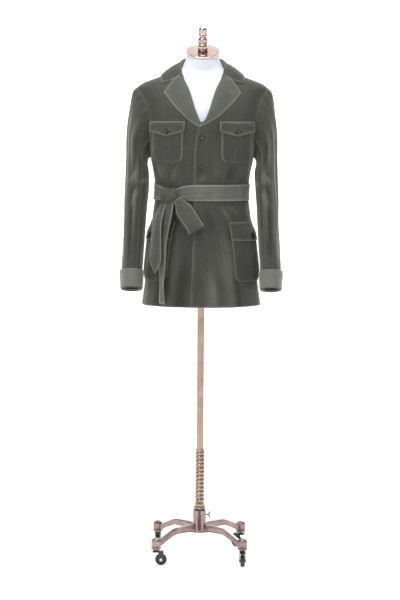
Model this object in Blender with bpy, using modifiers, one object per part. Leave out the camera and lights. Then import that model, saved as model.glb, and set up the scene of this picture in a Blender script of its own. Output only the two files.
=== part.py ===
"""A belted jacket with four patch pockets, on a limbless dress form with a castor stand.

Metres, +Z up. The origin is on the floor under the pole, and the jacket's front faces -Y.
The cloth is worked out from rings of the torso and of the sleeves, given in short tables.
"""
import math

import bmesh
import bpy
import numpy as np
from mathutils import Matrix
from mathutils import Vector

# Cloth
WALL = 0.0018
SEAM = 0.0003
SEAM_HALF = 0.0003
LAY = 0.0007
PATCH = 0.0013
LAP_OUT = WALL + LAY
LAP_START = 0.030
LAP_FADE = 0.040

# Heights of the jacket
HEM = 0.845
BELT_HEIGHT = 1.212
BREAK = 1.430
GORGE = 1.587
SHOULDER = 1.549
NECK = 1.612

# Armhole, seen from the side
ARMHOLE_LOW = 1.3245
ARMHOLE_FRONT = 0.058
ARMHOLE_BACK = 0.072
ARMHOLE_SEAM = math.pi
ARMHOLE_GAP = 0.0022
SIDE_SEAM = math.radians(-24)

# Two-piece sleeve: where its seams run round the arm, from the outside towards the front
SLEEVE_FRONT_SEAM = math.radians(118)
SLEEVE_BACK_SEAM = math.radians(244)
SLEEVE_RADIUS = 0.050
ARM_MIDDLE = 0.19

# Chest pocket and flap, by their width across the front
CHEST_ACROSS = 0.110
CHEST_HALF = 0.048
CHEST_TOP = 1.424
CHEST_FOOT = 1.310
CHEST_CORNER = 0.024
CHEST_SWELL = 0.004
CHEST_PLEAT = 0.0012
CHEST_FLAP_HALF = 0.054
CHEST_FLAP_TOP = 1.440
CHEST_FLAP_FOOT = 1.410
CHEST_FLAP_POINT = 0.015
CHEST_FLAP_DROP = 0.014

# Hip pocket and flap, by their length round the body
HIP_ANGLE = math.radians(24)
HIP_HALF = 0.078
HIP_TOP = 1.100
HIP_FOOT = 0.925
HIP_CORNER = 0.024
HIP_SWELL = 0.010
HIP_FLAP_HALF = 0.083
HIP_FLAP_TOP = 1.117
HIP_FLAP_FOOT = 1.060
HIP_FLAP_POINT = 0.006
HIP_FLAP_DROP = 0.018

# Buttons
BUTTON_RADIUS = 0.0098
BUTTON_THICK = 0.0036
BUTTON_RIM = 0.0011
FRONT_BUTTONS = (1.389, 1.295)
CHEST_BUTTON = 1.409
HIP_BUTTON = 1.072

# Belt
BELT_HALF = 0.026
BELT_LIFT = 0.0006
BELT_DRAWN = 0.015
BELT_DRAWN_REACH = 0.30
KNOT_ANGLE = math.radians(129)
KNOT_HEIGHT = 1.204
KNOT_HALF = (0.034, 0.0245, 0.0110)
KNOT_PINCH = 0.18
KNOT_SEAT = 0.0004

# Dress form and its neck
FORM_FOOT = 0.918
NECK_RADIUS = 0.054
NECK_TOP = 1.662
NECK_RISE = 0.030
CAP_TILT = math.radians(23)
CAP_THICK = 0.007
CAP_GAP = 0.0004
FINIAL_TOP = 1.748

# Stand
POLE_RADIUS = 0.01125
POLE_FOOT = 0.090
TWIST_TOP = 0.360
TWIST_RADIUS = 0.0142
TWIST_BORE = 0.0117
TWIST_RING = TWIST_RADIUS + 0.0005
TWIST_BELL = TWIST_RADIUS + 0.0035
COLUMN_TOP = 0.168
COLUMN_FOOT = 0.078
COLUMN_FLAT = 0.0215
BORE_RADIUS = 0.0122
SCREW_HEIGHT = 0.139
SCREW_START = COLUMN_FLAT + 0.0006
SCREW_LENGTH = 0.0112
SCREW_RADIUS = 0.0032
WING_SIZE = (0.0055, 0.0024, 0.0115)
WING_SPOT = COLUMN_FLAT + 0.0117
WING_RISE = 0.0062
WING_LEAN = math.radians(30)
LEG_REACH = 0.199
SOCKET_RADIUS = 0.0165
SOCKET_TOP = 0.090
SOCKET_FOOT = 0.052
SOCKET_RIM = 0.002

# Castors
WHEEL_RADIUS = 0.0195
WHEEL_HALF = 0.0070
WHEEL_FACETS = 16
WHEEL_CENTRE = WHEEL_RADIUS * math.cos(math.pi / WHEEL_FACETS)
AXLE_RADIUS = 0.0032
TRAIL = 0.016
FORK_GAP = 0.0008
FORK_CHEEK = 0.0025
FORK_TOP = 0.0465
FORK_UNDER = 0.0425
FORK_NOSE = -0.0115
FORK_TAIL = TRAIL + 0.0085
CHEEK_FRONT = TRAIL - 0.0085
CHEEK_FOOT = 0.0115
CHEEK_INSET = 0.0003
CHEEK_TAIL = FORK_TAIL - 0.0004
STEM_RADIUS = 0.0085
WHEEL_BORE = AXLE_RADIUS + 0.0004
WHEEL_EDGE = WHEEL_RADIUS - 0.0016
TREAD_HALF = WHEEL_HALF - 0.002
LEVER_START = 0.0009
LEVER_END = 0.0140
LEVER_HALF = (0.006, 0.0012)
LEVER_TILT = math.radians(12)
LEVER_HEIGHT = FORK_UNDER + 0.002


def table(columns, *rows):
    """Named columns of a short table, a row for each section."""
    return dict(zip(columns.split(), np.array(rows, dtype=float).T))


# Inside of the jacket's wall, ring by ring from the hem to the neck
BODY = table(
    "height half_width front back squareness",
    (0.845, 0.192, 0.150, 0.140, 2.3),
    (0.950, 0.178, 0.142, 0.133, 2.3),
    (1.050, 0.167, 0.134, 0.125, 2.3),
    (1.130, 0.159, 0.126, 0.115, 2.3),
    (1.212, 0.150, 0.116, 0.104, 2.3),
    (1.270, 0.156, 0.119, 0.108, 2.3),
    (1.330, 0.168, 0.127, 0.118, 2.3),
    (1.400, 0.179, 0.130, 0.125, 2.35),
    (1.460, 0.189, 0.121, 0.126, 2.3),
    (1.510, 0.202, 0.102, 0.120, 2.15),
    (1.545, 0.212, 0.085, 0.108, 2.0),
    (1.560, 0.196, 0.077, 0.101, 1.9),
    (1.575, 0.160, 0.069, 0.094, 1.85),
    (1.590, 0.118, 0.061, 0.086, 1.9),
    (1.605, 0.084, 0.055, 0.079, 2.0),
    (1.620, 0.067, 0.052, 0.074, 2.0),
)

# Soft ridges of the body, from a top to a foot; angles run from the wearer's left to the front
FOLDS = table(
    "angle_top top angle_foot foot spread depth",
    (68, 1.175, 62, 0.845, 0.024, 0.0050),
    (118, 1.170, 121, 0.845, 0.022, 0.0045),
    (150, 1.150, 152, 0.845, 0.026, 0.0060),
    (20, 1.150, 16, 0.845, 0.026, 0.0045),
    (214, 1.180, 210, 0.845, 0.024, 0.0055),
    (248, 1.180, 246, 0.845, 0.022, 0.0045),
    (284, 1.180, 287, 0.845, 0.024, 0.0055),
    (322, 1.180, 326, 0.845, 0.024, 0.0050),
    (72, 1.345, 75, 1.235, 0.016, 0.0030),
    (40, 1.330, 44, 1.235, 0.018, 0.0035),
    (138, 1.330, 134, 1.235, 0.018, 0.0035),
    (232, 1.340, 236, 1.235, 0.020, 0.0035),
    (300, 1.340, 297, 1.235, 0.020, 0.0035),
)

# How far the front's edge laps past the middle
EDGE = table(
    "height lap",
    (0.845, 0.0340),
    (1.000, 0.0280),
    (1.200, 0.0245),
    (1.330, 0.0250),
    (1.385, 0.0185),
    (1.430, 0.0100),
)

# Roll line of the lapel, measured across from the middle
ROLL = table(
    "height across",
    (1.430, -0.010),
    (1.445, 0.008),
    (1.475, 0.024),
    (1.540, 0.045),
    (1.587, 0.068),
)

# Sleeve rings: the outer and the inner side, how far each reaches forward and back, and the lift in front
SLEEVE = table(
    "along outer_x outer_z inner_x inner_z front back lift",
    (0.00, 0.2125, 1.5490, 0.1690, 1.3245, 0.058, 0.072, 0.000),
    (0.05, 0.2260, 1.5330, 0.1755, 1.3190, 0.062, 0.072, 0.000),
    (0.12, 0.2335, 1.4930, 0.1785, 1.3100, 0.066, 0.071, 0.000),
    (0.22, 0.2385, 1.4300, 0.1790, 1.2950, 0.069, 0.069, 0.000),
    (0.34, 0.2415, 1.3500, 0.1770, 1.2720, 0.071, 0.066, 0.000),
    (0.46, 0.2440, 1.2700, 0.1765, 1.2340, 0.073, 0.059, 0.004),
    (0.58, 0.2470, 1.1900, 0.1800, 1.1740, 0.082, 0.044, 0.010),
    (0.71, 0.2500, 1.1000, 0.1840, 1.0950, 0.100, 0.020, 0.016),
    (0.81, 0.2535, 1.0300, 0.1880, 1.0290, 0.118, -0.004, 0.016),
    (0.905, 0.2565, 0.9650, 0.1920, 0.9650, 0.138, -0.028, 0.013),
    (1.00, 0.2575, 0.8990, 0.1930, 0.8990, 0.158, -0.052, 0.011),
)

# Collar: its foot at the neck seam, the fold at its top and the free edge, from the back to the front end
COLLAR = table(
    "along foot_x foot_y foot_z fold_x fold_y fold_z edge_x edge_y edge_z",
    (0.00, 0.0000, 0.0775, 1.6140, 0.0000, 0.0800, 1.6480, 0.0000, 0.0960, 1.5940),
    (0.30, 0.0470, 0.0610, 1.6140, 0.0490, 0.0630, 1.6460, 0.0780, 0.0720, 1.5930),
    (0.60, 0.0745, 0.0040, 1.6138, 0.0710, 0.0030, 1.6350, 0.1290, 0.0030, 1.5930),
    (0.82, 0.0765, -0.0280, 1.6020, 0.0730, -0.0290, 1.6180, 0.1360, -0.0300, 1.5845),
    (1.00, 0.0590, -0.0625, 1.5800, 0.0690, -0.0575, 1.5940, 0.1310, -0.0590, 1.5640),
)
COLLAR_FOLD = 0.0042
COLLAR_NOTCH = 0.0095
COLLAR_SWELL = 0.003
COLLAR_CLEAR = WALL + PATCH + 0.5 * WALL + 0.0006

# Belt tails: height, middle across and forward, turn of the strip about the upright and half width
LONG_TAIL = table(
    "height across forward turn half",
    (0.858, -0.128, 0.152, -66, 0.0245),
    (0.930, -0.129, 0.147, -66, 0.0250),
    (1.020, -0.127, 0.143, -60, 0.0250),
    (1.100, -0.121, 0.140, -50, 0.0240),
    (1.152, -0.109, 0.128, -40, 0.0180),
    (1.1832, -0.0985, 0.1115, -31, 0.0110),
)
SHORT_TAIL = table(
    "height across forward turn half",
    (0.956, -0.150, 0.150, -42, 0.0025),
    (1.000, -0.149, 0.146, -42, 0.0240),
    (1.060, -0.148, 0.138, -46, 0.0250),
    (1.120, -0.144, 0.130, -56, 0.0235),
    (1.155, -0.132, 0.114, -52, 0.0165),
    (1.1832, -0.1190, 0.0990, -31, 0.0095),
)

# How much smaller the form is than the jacket's inside
FORM_EASE = table(
    "height side front back",
    (0.918, 0.030, 0.040, 0.034),
    (0.960, 0.014, 0.024, 0.018),
    (1.212, 0.010, 0.012, 0.010),
    (1.400, 0.022, 0.008, 0.008),
    (1.500, 0.024, 0.007, 0.007),
    (1.545, 0.014, 0.006, 0.006),
    (1.562, 0.0050, 0.007, 0.006),
    (1.598, 0.0050, 0.007, 0.008),
    (1.620, 0.012, 0.004, 0.016),
)

# Finial, turned: height above the cap's middle and radius
FINIAL = table(
    "height radius",
    (0.000, 0.0105),
    (0.004, 0.0160),
    (0.010, 0.0172),
    (0.017, 0.0160),
    (0.021, 0.0135),
    (0.025, 0.0160),
    (0.032, 0.0172),
    (0.039, 0.0155),
    (0.043, 0.0120),
    (0.047, 0.0125),
    (0.049, 0.0170),
    (0.052, 0.0172),
    (0.054, 0.0130),
)
FINIAL_BALL = 0.0155
FINIAL_SPARE = 0.012
FINIAL_GAP = 0.0012

# Leg of the base: reach from the pole, height and half depth
LEG = table(
    "reach height half_depth",
    (0.022, 0.094, 0.0130),
    (0.060, 0.099, 0.0115),
    (0.105, 0.099, 0.0105),
    (0.145, 0.087, 0.0100),
    (0.1827, 0.070, 0.0100),
)
LEG_HALF = 0.0080

# Each castor's swing about its socket at rest, and whether it has a brake
CASTORS = (
    ("front_left", 1, -1, -90, True),
    ("front_right", -1, -1, 0, False),
    ("rear_left", 1, 1, 150, False),
    ("rear_right", -1, 1, 90, True),
)


def hermite(keys, values, at):
    """A smooth curve through values, which never overshoots between them."""
    step = np.diff(keys)
    slope = np.diff(values) / step
    tangent = np.concatenate((slope[:1], np.zeros(len(slope) - 1), slope[-1:]))
    product = slope[:-1] * slope[1:]
    total = np.where(product > 0, slope[:-1] + slope[1:], 1.0)
    tangent[1:-1] = np.where(product > 0, 2 * product / total, 0.0)
    at = np.clip(at, keys[0], keys[-1])
    i = np.clip(np.searchsorted(keys, at) - 1, 0, len(step) - 1)
    t = (at - keys[i]) / step[i]
    rise = values[i] + (values[i + 1] - values[i]) * t * t * (3 - 2 * t)
    lean = t * (1 - t) * ((1 - t) * tangent[i] - t * tangent[i + 1])
    return rise + lean * step[i]


def read(sections, column, at, key="height"):
    """One column of a table, at any place along its key column."""
    return hermite(sections[key], sections[column], np.asarray(at, dtype=float))


def ease(t):
    """0 to 1 with soft ends."""
    t = np.clip(t, 0.0, 1.0)
    return t * t * (3 - 2 * t)


def blend(a, b, t):
    return a + (b - a) * t


def unit(vectors):
    return vectors / np.linalg.norm(vectors, axis=-1, keepdims=True)


def signed_power(value, power):
    return np.sign(value) * np.abs(value) ** power


# The torso's surface: an angle from the wearer's left towards the front, and a height


def ring(angle, height):
    squareness = read(BODY, "squareness", height)
    across = signed_power(np.cos(angle), 2 / squareness)
    forward = signed_power(np.sin(angle), 2 / squareness)
    depth = np.where(forward > 0, read(BODY, "front", height), read(BODY, "back", height))
    x = across * read(BODY, "half_width", height)
    return np.stack((x, -forward * depth, height + 0 * x), axis=-1)


def ring_normal(angle, height, step=0.002):
    round_it = ring(angle + step, height) - ring(angle - step, height)
    up_it = ring(angle, height + step) - ring(angle, height - step)
    return unit(np.cross(up_it, round_it))


def fold_height(angle, height):
    """How far the soft ridges stand out at a place on the body."""
    total = np.zeros(np.broadcast(angle, height).shape)
    radius = 0.5 * (read(BODY, "half_width", height) + read(BODY, "front", height))
    for i in range(len(FOLDS["top"])):
        top, foot = FOLDS["top"][i], FOLDS["foot"][i]
        down = (top - height) / (top - foot)
        line = np.radians(blend(FOLDS["angle_top"][i], FOLDS["angle_foot"][i], np.clip(down, 0, 1)))
        apart = (np.mod(angle - line + math.pi, 2 * math.pi) - math.pi) * radius
        fade_out = ease(2 * (1 - down)) if foot > HEM else 1.0
        along = ease(1.5 * down) * fade_out
        total = total + FOLDS["depth"][i] * along * np.exp(-((apart / FOLDS["spread"][i]) ** 2))
    return total


def body_point(angle, height, out):
    """A point of the jacket's body, moved out from the inside of its wall."""
    angle, height, out = np.broadcast_arrays(angle, height, out)
    lift = np.asarray(out + fold_height(angle, height))
    return ring(angle, height) + ring_normal(angle, height) * lift[..., None]


def angle_across(across, height):
    """The angle on the front at a distance across from the middle, towards the wearer's left."""
    ratio = np.clip(across / read(BODY, "half_width", height), -1, 1)
    return np.arccos(signed_power(ratio, read(BODY, "squareness", height) / 2))


def on_side(angle, side):
    """An angle of the wearer's left half, mirrored for the right half."""
    return angle if side > 0 else math.pi - angle


def lap_out(across, side):
    """The left front lies over the right one near the middle."""
    if side < 0:
        return 0 * np.asarray(across)
    return LAP_OUT * (1 - ease((across - LAP_START) / LAP_FADE))


def front_point(side, across, height, out):
    angle = on_side(angle_across(across, height), side)
    return body_point(angle, height, out + lap_out(across, side))


def quarter(height):
    """About a quarter of the ring's length, to lay the panels out as flat patterns."""
    wide, deep = read(BODY, "half_width", height), read(BODY, "front", height)
    return 0.5 * math.pi * np.sqrt(0.5 * (wide**2 + deep**2))


def lay_flat(angle, height):
    return np.stack(((0.5 * math.pi - angle) / (0.5 * math.pi) * quarter(height), height + 0 * angle), -1)


def lay_round(flat):
    return 0.5 * math.pi * (1 - flat[..., 0] / quarter(flat[..., 1])), flat[..., 1]


def patch(bottom, top, left, right):
    """A grid between four edges, rows from the bottom and columns from the left."""
    u = np.linspace(0, 1, len(bottom))[None, :, None]
    v = np.linspace(0, 1, len(left))[:, None, None]
    ruled = (1 - v) * bottom[None] + v * top[None] + (1 - u) * left[:, None] + u * right[:, None]
    corners = (1 - v) * ((1 - u) * bottom[0] + u * bottom[-1]) + v * ((1 - u) * top[0] + u * top[-1])
    return ruled - corners


# Building meshes


def material(name, colour, roughness, metallic=0.0):
    made = bpy.data.materials.new(name)
    made.use_nodes = True
    shader = made.node_tree.nodes["Principled BSDF"]
    shader.inputs["Base Color"].default_value = (*colour, 1.0)
    shader.inputs["Roughness"].default_value = roughness
    shader.inputs["Metallic"].default_value = metallic
    return made


def face_outwards(shape):
    """Turn a closed shape's faces outwards."""
    shape.normal_update()
    bmesh.ops.recalc_face_normals(shape, faces=shape.faces[:])
    if shape.calc_volume(signed=True) < 0:
        bmesh.ops.reverse_faces(shape, faces=shape.faces[:])


def place(name, mesh, finish):
    made = bpy.data.objects.new(name, mesh)
    mesh.materials.append(finish)
    PARTS.objects.link(made)
    return made


def cloth_wall(name, inside, outside, finish, closed=False):
    """A wall lofted between unlike sections: two grids of points, joined round their edges."""
    rows, columns = inside.shape[:2]
    points = np.concatenate((outside.reshape(-1, 3), inside.reshape(-1, 3)))
    under = rows * columns
    faces = []
    last = columns if closed else columns - 1
    for r in range(rows - 1):
        for c in range(last):
            d = (c + 1) % columns
            a, b, far, up_it = r * columns + c, r * columns + d, (r + 1) * columns + d, (r + 1) * columns + c
            short = np.linalg.norm(points[a] - points[far]) < np.linalg.norm(points[b] - points[up_it])
            split = ((a, b, far), (a, far, up_it)) if short else ((a, b, up_it), (b, far, up_it))
            for corner in split:
                faces.append(corner)
                faces.append([under + k for k in reversed(corner)])
    for r, turn in ((0, 1), (rows - 1, -1)):
        for c in range(last):
            a, b = r * columns + c, r * columns + (c + 1) % columns
            faces.append([b, a, under + a, under + b][::turn])
    for c, turn in ((0, -1), (columns - 1, 1)):
        for r in range(rows - 1):
            a, b = r * columns + c, (r + 1) * columns + c
            if not closed:
                faces.append([b, a, under + a, under + b][::turn])
    mesh = bpy.data.meshes.new(name)
    mesh.from_pydata(points.tolist(), [], faces)
    shell = bmesh.new()
    shell.from_mesh(mesh)
    face_outwards(shell)
    shell.to_mesh(mesh)
    shell.free()
    mesh.shade_smooth()
    return place(name, mesh, finish)


def grid_normals(points, closed=False):
    """Normals of a grid of points, from its neighbours along both directions."""
    up_it = np.gradient(points, axis=0)
    if closed:
        along = np.roll(points, -1, axis=1) - np.roll(points, 1, axis=1)
    else:
        along = np.gradient(points, axis=1)
    return unit(np.cross(along, up_it))


def sheet_wall(name, points, finish, thick=WALL, closed=False):
    """A wall with its middle on a grid of points."""
    shift = 0.5 * thick * grid_normals(points, closed)
    return cloth_wall(name, points - shift, points + shift, finish, closed)


# Fronts and back

PANEL_ROWS = 22
UNDERARM_ROW = 11
BREAK_ROW = 13
FRONT_COLUMNS = 12
BACK_COLUMNS = 17
SHOULDER_SHARE = 0.30


def armhole(turn):
    """The armhole of the wearer's left, turning from the shoulder to the front and under."""
    height = 0.5 * (SHOULDER + ARMHOLE_LOW) + 0.5 * (SHOULDER - ARMHOLE_LOW) * np.cos(turn)
    swing = np.sin(turn)
    reach = np.where(swing > 0, ARMHOLE_FRONT, ARMHOLE_BACK) * np.abs(swing)
    depth = np.where(swing > 0, read(BODY, "front", height), read(BODY, "back", height))
    power = 0.5 * read(BODY, "squareness", height)
    return np.sign(swing) * np.arcsin(np.clip(reach / depth, 0, 1) ** power), height


def side_edge(last_turn):
    """Side seam from the hem to the armhole, then along the armhole to the shoulder."""
    low_angle, low_height = armhole(np.array(ARMHOLE_SEAM))
    climb = np.linspace(0, 1, UNDERARM_ROW)
    seam = np.stack((blend(SIDE_SEAM, low_angle, climb), blend(HEM, low_height, climb)), -1)
    turns = np.linspace(ARMHOLE_SEAM, last_turn, PANEL_ROWS - UNDERARM_ROW + 1)[1:]
    return np.concatenate((seam, np.stack(armhole(turns), -1)))


def parted(edge, towards):
    """An edge given as angles and heights, moved by half the seam's gap."""
    moved = edge.copy()
    moved[:, 0] += towards * SEAM_HALF / quarter(edge[:, 1])
    return moved


def centre_edge(lap_share):
    """Front edge from the hem to the break, then up the roll line to the neck."""
    low = np.linspace(HEM, BREAK, BREAK_ROW)
    across = -lap_share * read(EDGE, "lap", low)
    straight = np.stack((angle_across(across, low), low), -1)
    turned = PANEL_ROWS - BREAK_ROW
    rolled = np.linspace(BREAK, GORGE, turned - 1)[1:]
    roll = np.stack((angle_across(read(ROLL, "across", rolled), rolled), rolled), -1)
    share = np.linspace(0, 1, 3)[1:, None]
    neck = blend(roll[-1], np.array((0.0, NECK)), share)
    return np.concatenate((straight, roll, neck))


def front(name, side, lap_share):
    left = centre_edge(lap_share)
    right = parted(side_edge(0.0), 1)
    left[-1, 0] = right[-1, 0]
    bottom = np.stack((np.linspace(left[0, 0], right[0, 0], FRONT_COLUMNS), np.full(FRONT_COLUMNS, HEM)), -1)
    ridge = np.linspace(NECK, SHOULDER, FRONT_COLUMNS)
    top = np.stack((np.full(FRONT_COLUMNS, right[-1, 0]), ridge), -1)
    edges = [lay_flat(e[:, 0], e[:, 1]) for e in (bottom, top, left, right)]
    angle, height = lay_round(patch(*edges))
    across = read(BODY, "half_width", height) * np.cos(angle)
    out = lap_out(across, side)
    angle = on_side(angle, side)
    cloth_wall(name, body_point(angle, height, out), body_point(angle, height, out + WALL), CLOTH)


def back():
    edge = parted(side_edge(2 * math.pi), -1)
    tip = edge[-1, 0]
    share = np.linspace(0, 1, BACK_COLUMNS)
    climb = np.clip(np.minimum(share, 1 - share) / SHOULDER_SHARE, 0, 1)
    across = np.clip((share - SHOULDER_SHARE) / (1 - 2 * SHOULDER_SHARE), 0, 1)
    top = np.stack((blend(tip, -math.pi - tip, across), blend(SHOULDER, NECK, climb)), -1)
    bottom = np.stack((blend(edge[0, 0], -math.pi - edge[0, 0], share), np.full(BACK_COLUMNS, HEM)), -1)
    far = edge.copy()
    far[:, 0] = -math.pi - edge[:, 0]
    edges = [lay_flat(e[:, 0] + math.pi, e[:, 1]) for e in (bottom, top, edge, far)]
    flat = patch(*edges)
    climb = np.linspace(0, 1, PANEL_ROWS)
    level = (blend(HEM, SHOULDER, climb) - edge[:, 1]) * (1 - ease((climb - 0.60) / 0.28))
    flat[..., 1] += level[:, None] * (1 - np.abs(2 * share - 1) ** 3)
    angle, height = lay_round(flat)
    angle = angle - math.pi
    cloth_wall("back", body_point(angle, height, 0.0), body_point(angle, height, WALL), CLOTH)


# Sleeves and cuffs

SLEEVE_ROWS = 18
TOP_COLUMNS = 12
UNDER_COLUMNS = 7
HEAD_SHARE = 0.25


def sleeve_ring(turn, along):
    """A point of the wearer's left sleeve: the turn runs from the outside to the front."""
    columns = [read(SLEEVE, name, along, "along") for name in list(SLEEVE)[1:]]
    outer_x, outer_z, inner_x, inner_z, forward, behind, lift = columns
    swing, out = np.sin(turn), 0.5 * (1 + np.cos(turn))
    x = blend(inner_x, outer_x, out)
    y = 0.5 * (behind - forward) - 0.5 * (behind + forward) * swing
    z = blend(inner_z, outer_z, out) + lift * swing
    return np.stack((x, y, z), -1)


def sleeve_point(turn, along):
    """The sleeve's inner face, eased from the armhole's edge into its own rings."""
    turn, along = np.broadcast_arrays(turn, along)
    angle, height = armhole(turn)
    seat = body_point(angle, height, WALL + SEAM)
    middle = np.array((ARM_MIDDLE, 0.5 * (ARMHOLE_BACK - ARMHOLE_FRONT), 0.5 * (SHOULDER + ARMHOLE_LOW)))
    normal = ring_normal(angle, height)
    inward = middle - seat
    inward = unit(inward - normal * np.sum(inward * normal, -1, keepdims=True))
    gap = ARMHOLE_GAP * (1 + np.clip(-np.cos(turn), 0, 1))
    seat = seat + inward * gap[..., None]
    hold = 1 - ease(along / HEAD_SHARE)
    return sleeve_ring(turn, along) + (seat - sleeve_ring(turn, 0 * along)) * hold[..., None]


def sleeve_outward(turn, along, step=0.004):
    """The way from the sleeve's hollow out through its cloth."""
    late = np.clip(along, step, 1 - step)
    round_it = sleeve_point(turn + step, late) - sleeve_point(turn - step, late)
    down_it = sleeve_point(turn, late + step) - sleeve_point(turn, late - step)
    return unit(np.cross(round_it, down_it))


def sleeve_piece(name, side, start, stop, columns):
    part_seam = SEAM_HALF / SLEEVE_RADIUS
    turn = np.linspace(start + part_seam, stop - part_seam, columns)[None]
    along = (np.linspace(0, 1, SLEEVE_ROWS) ** 1.15)[:, None]
    turn, along = np.broadcast_arrays(turn, along)
    inside = sleeve_point(turn, along)
    outside = inside + WALL * sleeve_outward(turn, along)
    mirror = np.array((side, 1, 1))
    cloth_wall(name, inside * mirror, outside * mirror, CLOTH)


CUFF_TOP = 0.918
CUFF_FOOT = 0.998
CUFF_FLARE = 0.0025
CUFF_WALL = 1.3 * WALL


def cuff(name, side):
    """A band turned back over the sleeve's end, which stands off a little at its upper edge."""
    top = np.linspace(SLEEVE_BACK_SEAM - 2 * math.pi, SLEEVE_FRONT_SEAM, TOP_COLUMNS)[:-1]
    under = np.linspace(SLEEVE_FRONT_SEAM, SLEEVE_BACK_SEAM, UNDER_COLUMNS)[:-1]
    turn = np.concatenate((top, under))[None]
    along = np.linspace(CUFF_TOP, CUFF_FOOT, 3)[:, None]
    turn, along = np.broadcast_arrays(turn, along)
    stand_off = LAY + CUFF_FLARE * ease((CUFF_FOOT - along) / (CUFF_FOOT - CUFF_TOP))
    outward = sleeve_outward(turn, along)
    seat = sleeve_point(turn, along) + WALL * outward
    inside = seat + stand_off[..., None] * outward
    outside = seat + (stand_off + CUFF_WALL)[..., None] * outward
    mirror = np.array((side, 1, 1))
    cloth_wall(name, inside * mirror, outside * mirror, CLOTH_LIGHT, closed=True)


# Collar and lapels

COLLAR_COLUMNS = 21


def collar_line(line, along):
    """One of the collar's three lines, mirrored over its back."""
    there = np.abs(along)
    x, y, z = (read(COLLAR, line + "_" + axis, there, "along") for axis in "xyz")
    return np.stack((np.sign(along) * x, y, z), -1)


def lifted(points):
    """Points moved out where they would come too near to the body."""
    x, y, height = points[:, 0], points[:, 1], points[:, 2]
    power = 0.5 * read(BODY, "squareness", height)
    depth = np.where(y < 0, read(BODY, "front", height), read(BODY, "back", height))
    across = signed_power(x / read(BODY, "half_width", height), power)
    angle = np.arctan2(signed_power(-y / depth, power), across)
    normal = ring_normal(angle, height)
    out = np.sum((points - ring(angle, height)) * normal, -1)
    return points + normal * np.maximum(COLLAR_CLEAR - out, 0)[:, None]


def collar_points(columns):
    along = np.linspace(-1, 1, columns)
    foot, fold, edge = (collar_line(line, along) for line in ("foot", "fold", "edge"))
    outwards = edge - fold
    outwards[:, 2] = 0
    outwards = unit(outwards)
    down = np.array((0, 0, -1.0))
    radius = COLLAR_FOLD * blend(1.0, 0.92, ease((np.abs(along) - 0.7) / 0.3))[:, None]
    fold_in = fold - radius * (0.9 * outwards - 1.2 * down)
    fold_out = fold + radius * (1.0 * outwards + 1.1 * down)
    rows = [foot, blend(foot, fold_in, 0.5), fold_in, fold, fold_out]
    for share in (0.3, 0.55, 0.8, 1.0):
        swell = COLLAR_SWELL * math.sin(math.pi * share) * (outwards - down)
        dip = COLLAR_NOTCH * math.sin(math.pi * min(1.0, share * 1.1)) * ease((np.abs(along) - 0.9) / 0.1)
        rows.append(lifted(blend(fold_out, edge, share) + swell + dip[:, None] * down))
    return np.stack(rows)


LAPEL_TIP = (0.124, 1.532)
LAPEL_BELLY = (0.064, 1.452)
LAPEL_NOTCH = (0.0920, 1.5695)
LAPEL_TOP = GORGE - 0.0045
LAPEL_BULGE = 0.0035
LAPEL_ROWS = 11
LAPEL_COLUMNS = 7


def lapel(name, side, roll_foot, edge_foot):
    """The turned-back top of a front, from the roll line to its outer edge."""
    climb = np.linspace(0, 1, LAPEL_ROWS)
    roll_height = blend(roll_foot[1], LAPEL_TOP, climb)
    roll_across = np.maximum(read(ROLL, "across", roll_height), blend(roll_foot[0], 0.0, climb))
    left = np.stack((roll_across, roll_height), -1)
    tip, belly, notch = np.array((LAPEL_TIP, LAPEL_BELLY, LAPEL_NOTCH))
    t = climb[:, None]
    right = (1 - t) ** 2 * np.array(edge_foot) + 2 * t * (1 - t) * belly + t * t * tip
    u = np.linspace(0, 1, LAPEL_COLUMNS)[:, None]
    top = np.where(u < 0.5, blend(left[-1], notch, 2 * u), blend(notch, tip, 2 * u - 1))
    bottom = blend(left[0], right[0], u)
    laid = patch(bottom, top, left, right)
    across, height = laid[..., 0], laid[..., 1]
    bulge = LAPEL_BULGE * np.sin(math.pi * u[:, 0] ** 0.6)[None] * ease(climb * 4)[:, None]
    out = WALL + (PATCH if side > 0 else LAY) + bulge
    inside = front_point(side, across, height, out)
    outside = front_point(side, across, height, out + WALL)
    cloth_wall(name, inside, outside, CLOTH_LIGHT)


# Pockets, flaps and buttons


def pocket_grid(rows, columns, half, foot, top, corner):
    """Places across and up a patch with round lower corners."""
    u = np.linspace(-1, 1, columns)[None]
    v = np.linspace(0, 1, rows)[:, None]
    up_it = v * (top - foot)
    cut = corner - np.sqrt(np.clip(corner**2 - np.clip(corner - up_it, 0, corner) ** 2, 0, None))
    return u * (half - cut), foot + up_it + 0 * u, u + 0 * v


def chest_swell(share, height):
    """How far the chest pocket stands off, with its box pleat."""
    up_it = np.clip((height - CHEST_FOOT) / (CHEST_TOP - CHEST_FOOT), 0, 1)
    pleat = CHEST_PLEAT * ease((0.32 - np.abs(share)) / 0.1)
    return (CHEST_SWELL * (1 - share**4) + pleat) * (1 - np.abs(2 * up_it - 1) ** 3)


def chest_pocket(name, side):
    across, height, u = pocket_grid(8, 10, CHEST_HALF, CHEST_FOOT, CHEST_TOP, CHEST_CORNER)
    out = WALL + PATCH + chest_swell(u, height)
    inside = front_point(side, CHEST_ACROSS + across, height, out)
    outside = front_point(side, CHEST_ACROSS + across, height, out + WALL)
    cloth_wall(name, inside, outside, CLOTH)


def flap_grid(rows, columns, half, top, foot, point):
    u = np.linspace(-1, 1, columns)[None]
    v = np.linspace(0, 1, rows)[:, None]
    low = foot - point * (1 - np.abs(u))
    return u * half + 0 * v, blend(low, top, v), u + 0 * v


def chest_flap_out(u, height):
    drop = ease((CHEST_FLAP_TOP - height) / CHEST_FLAP_DROP)
    over = WALL + PATCH + chest_swell(np.clip(u, -0.9, 0.9), height)
    return WALL + PATCH + over * drop


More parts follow.
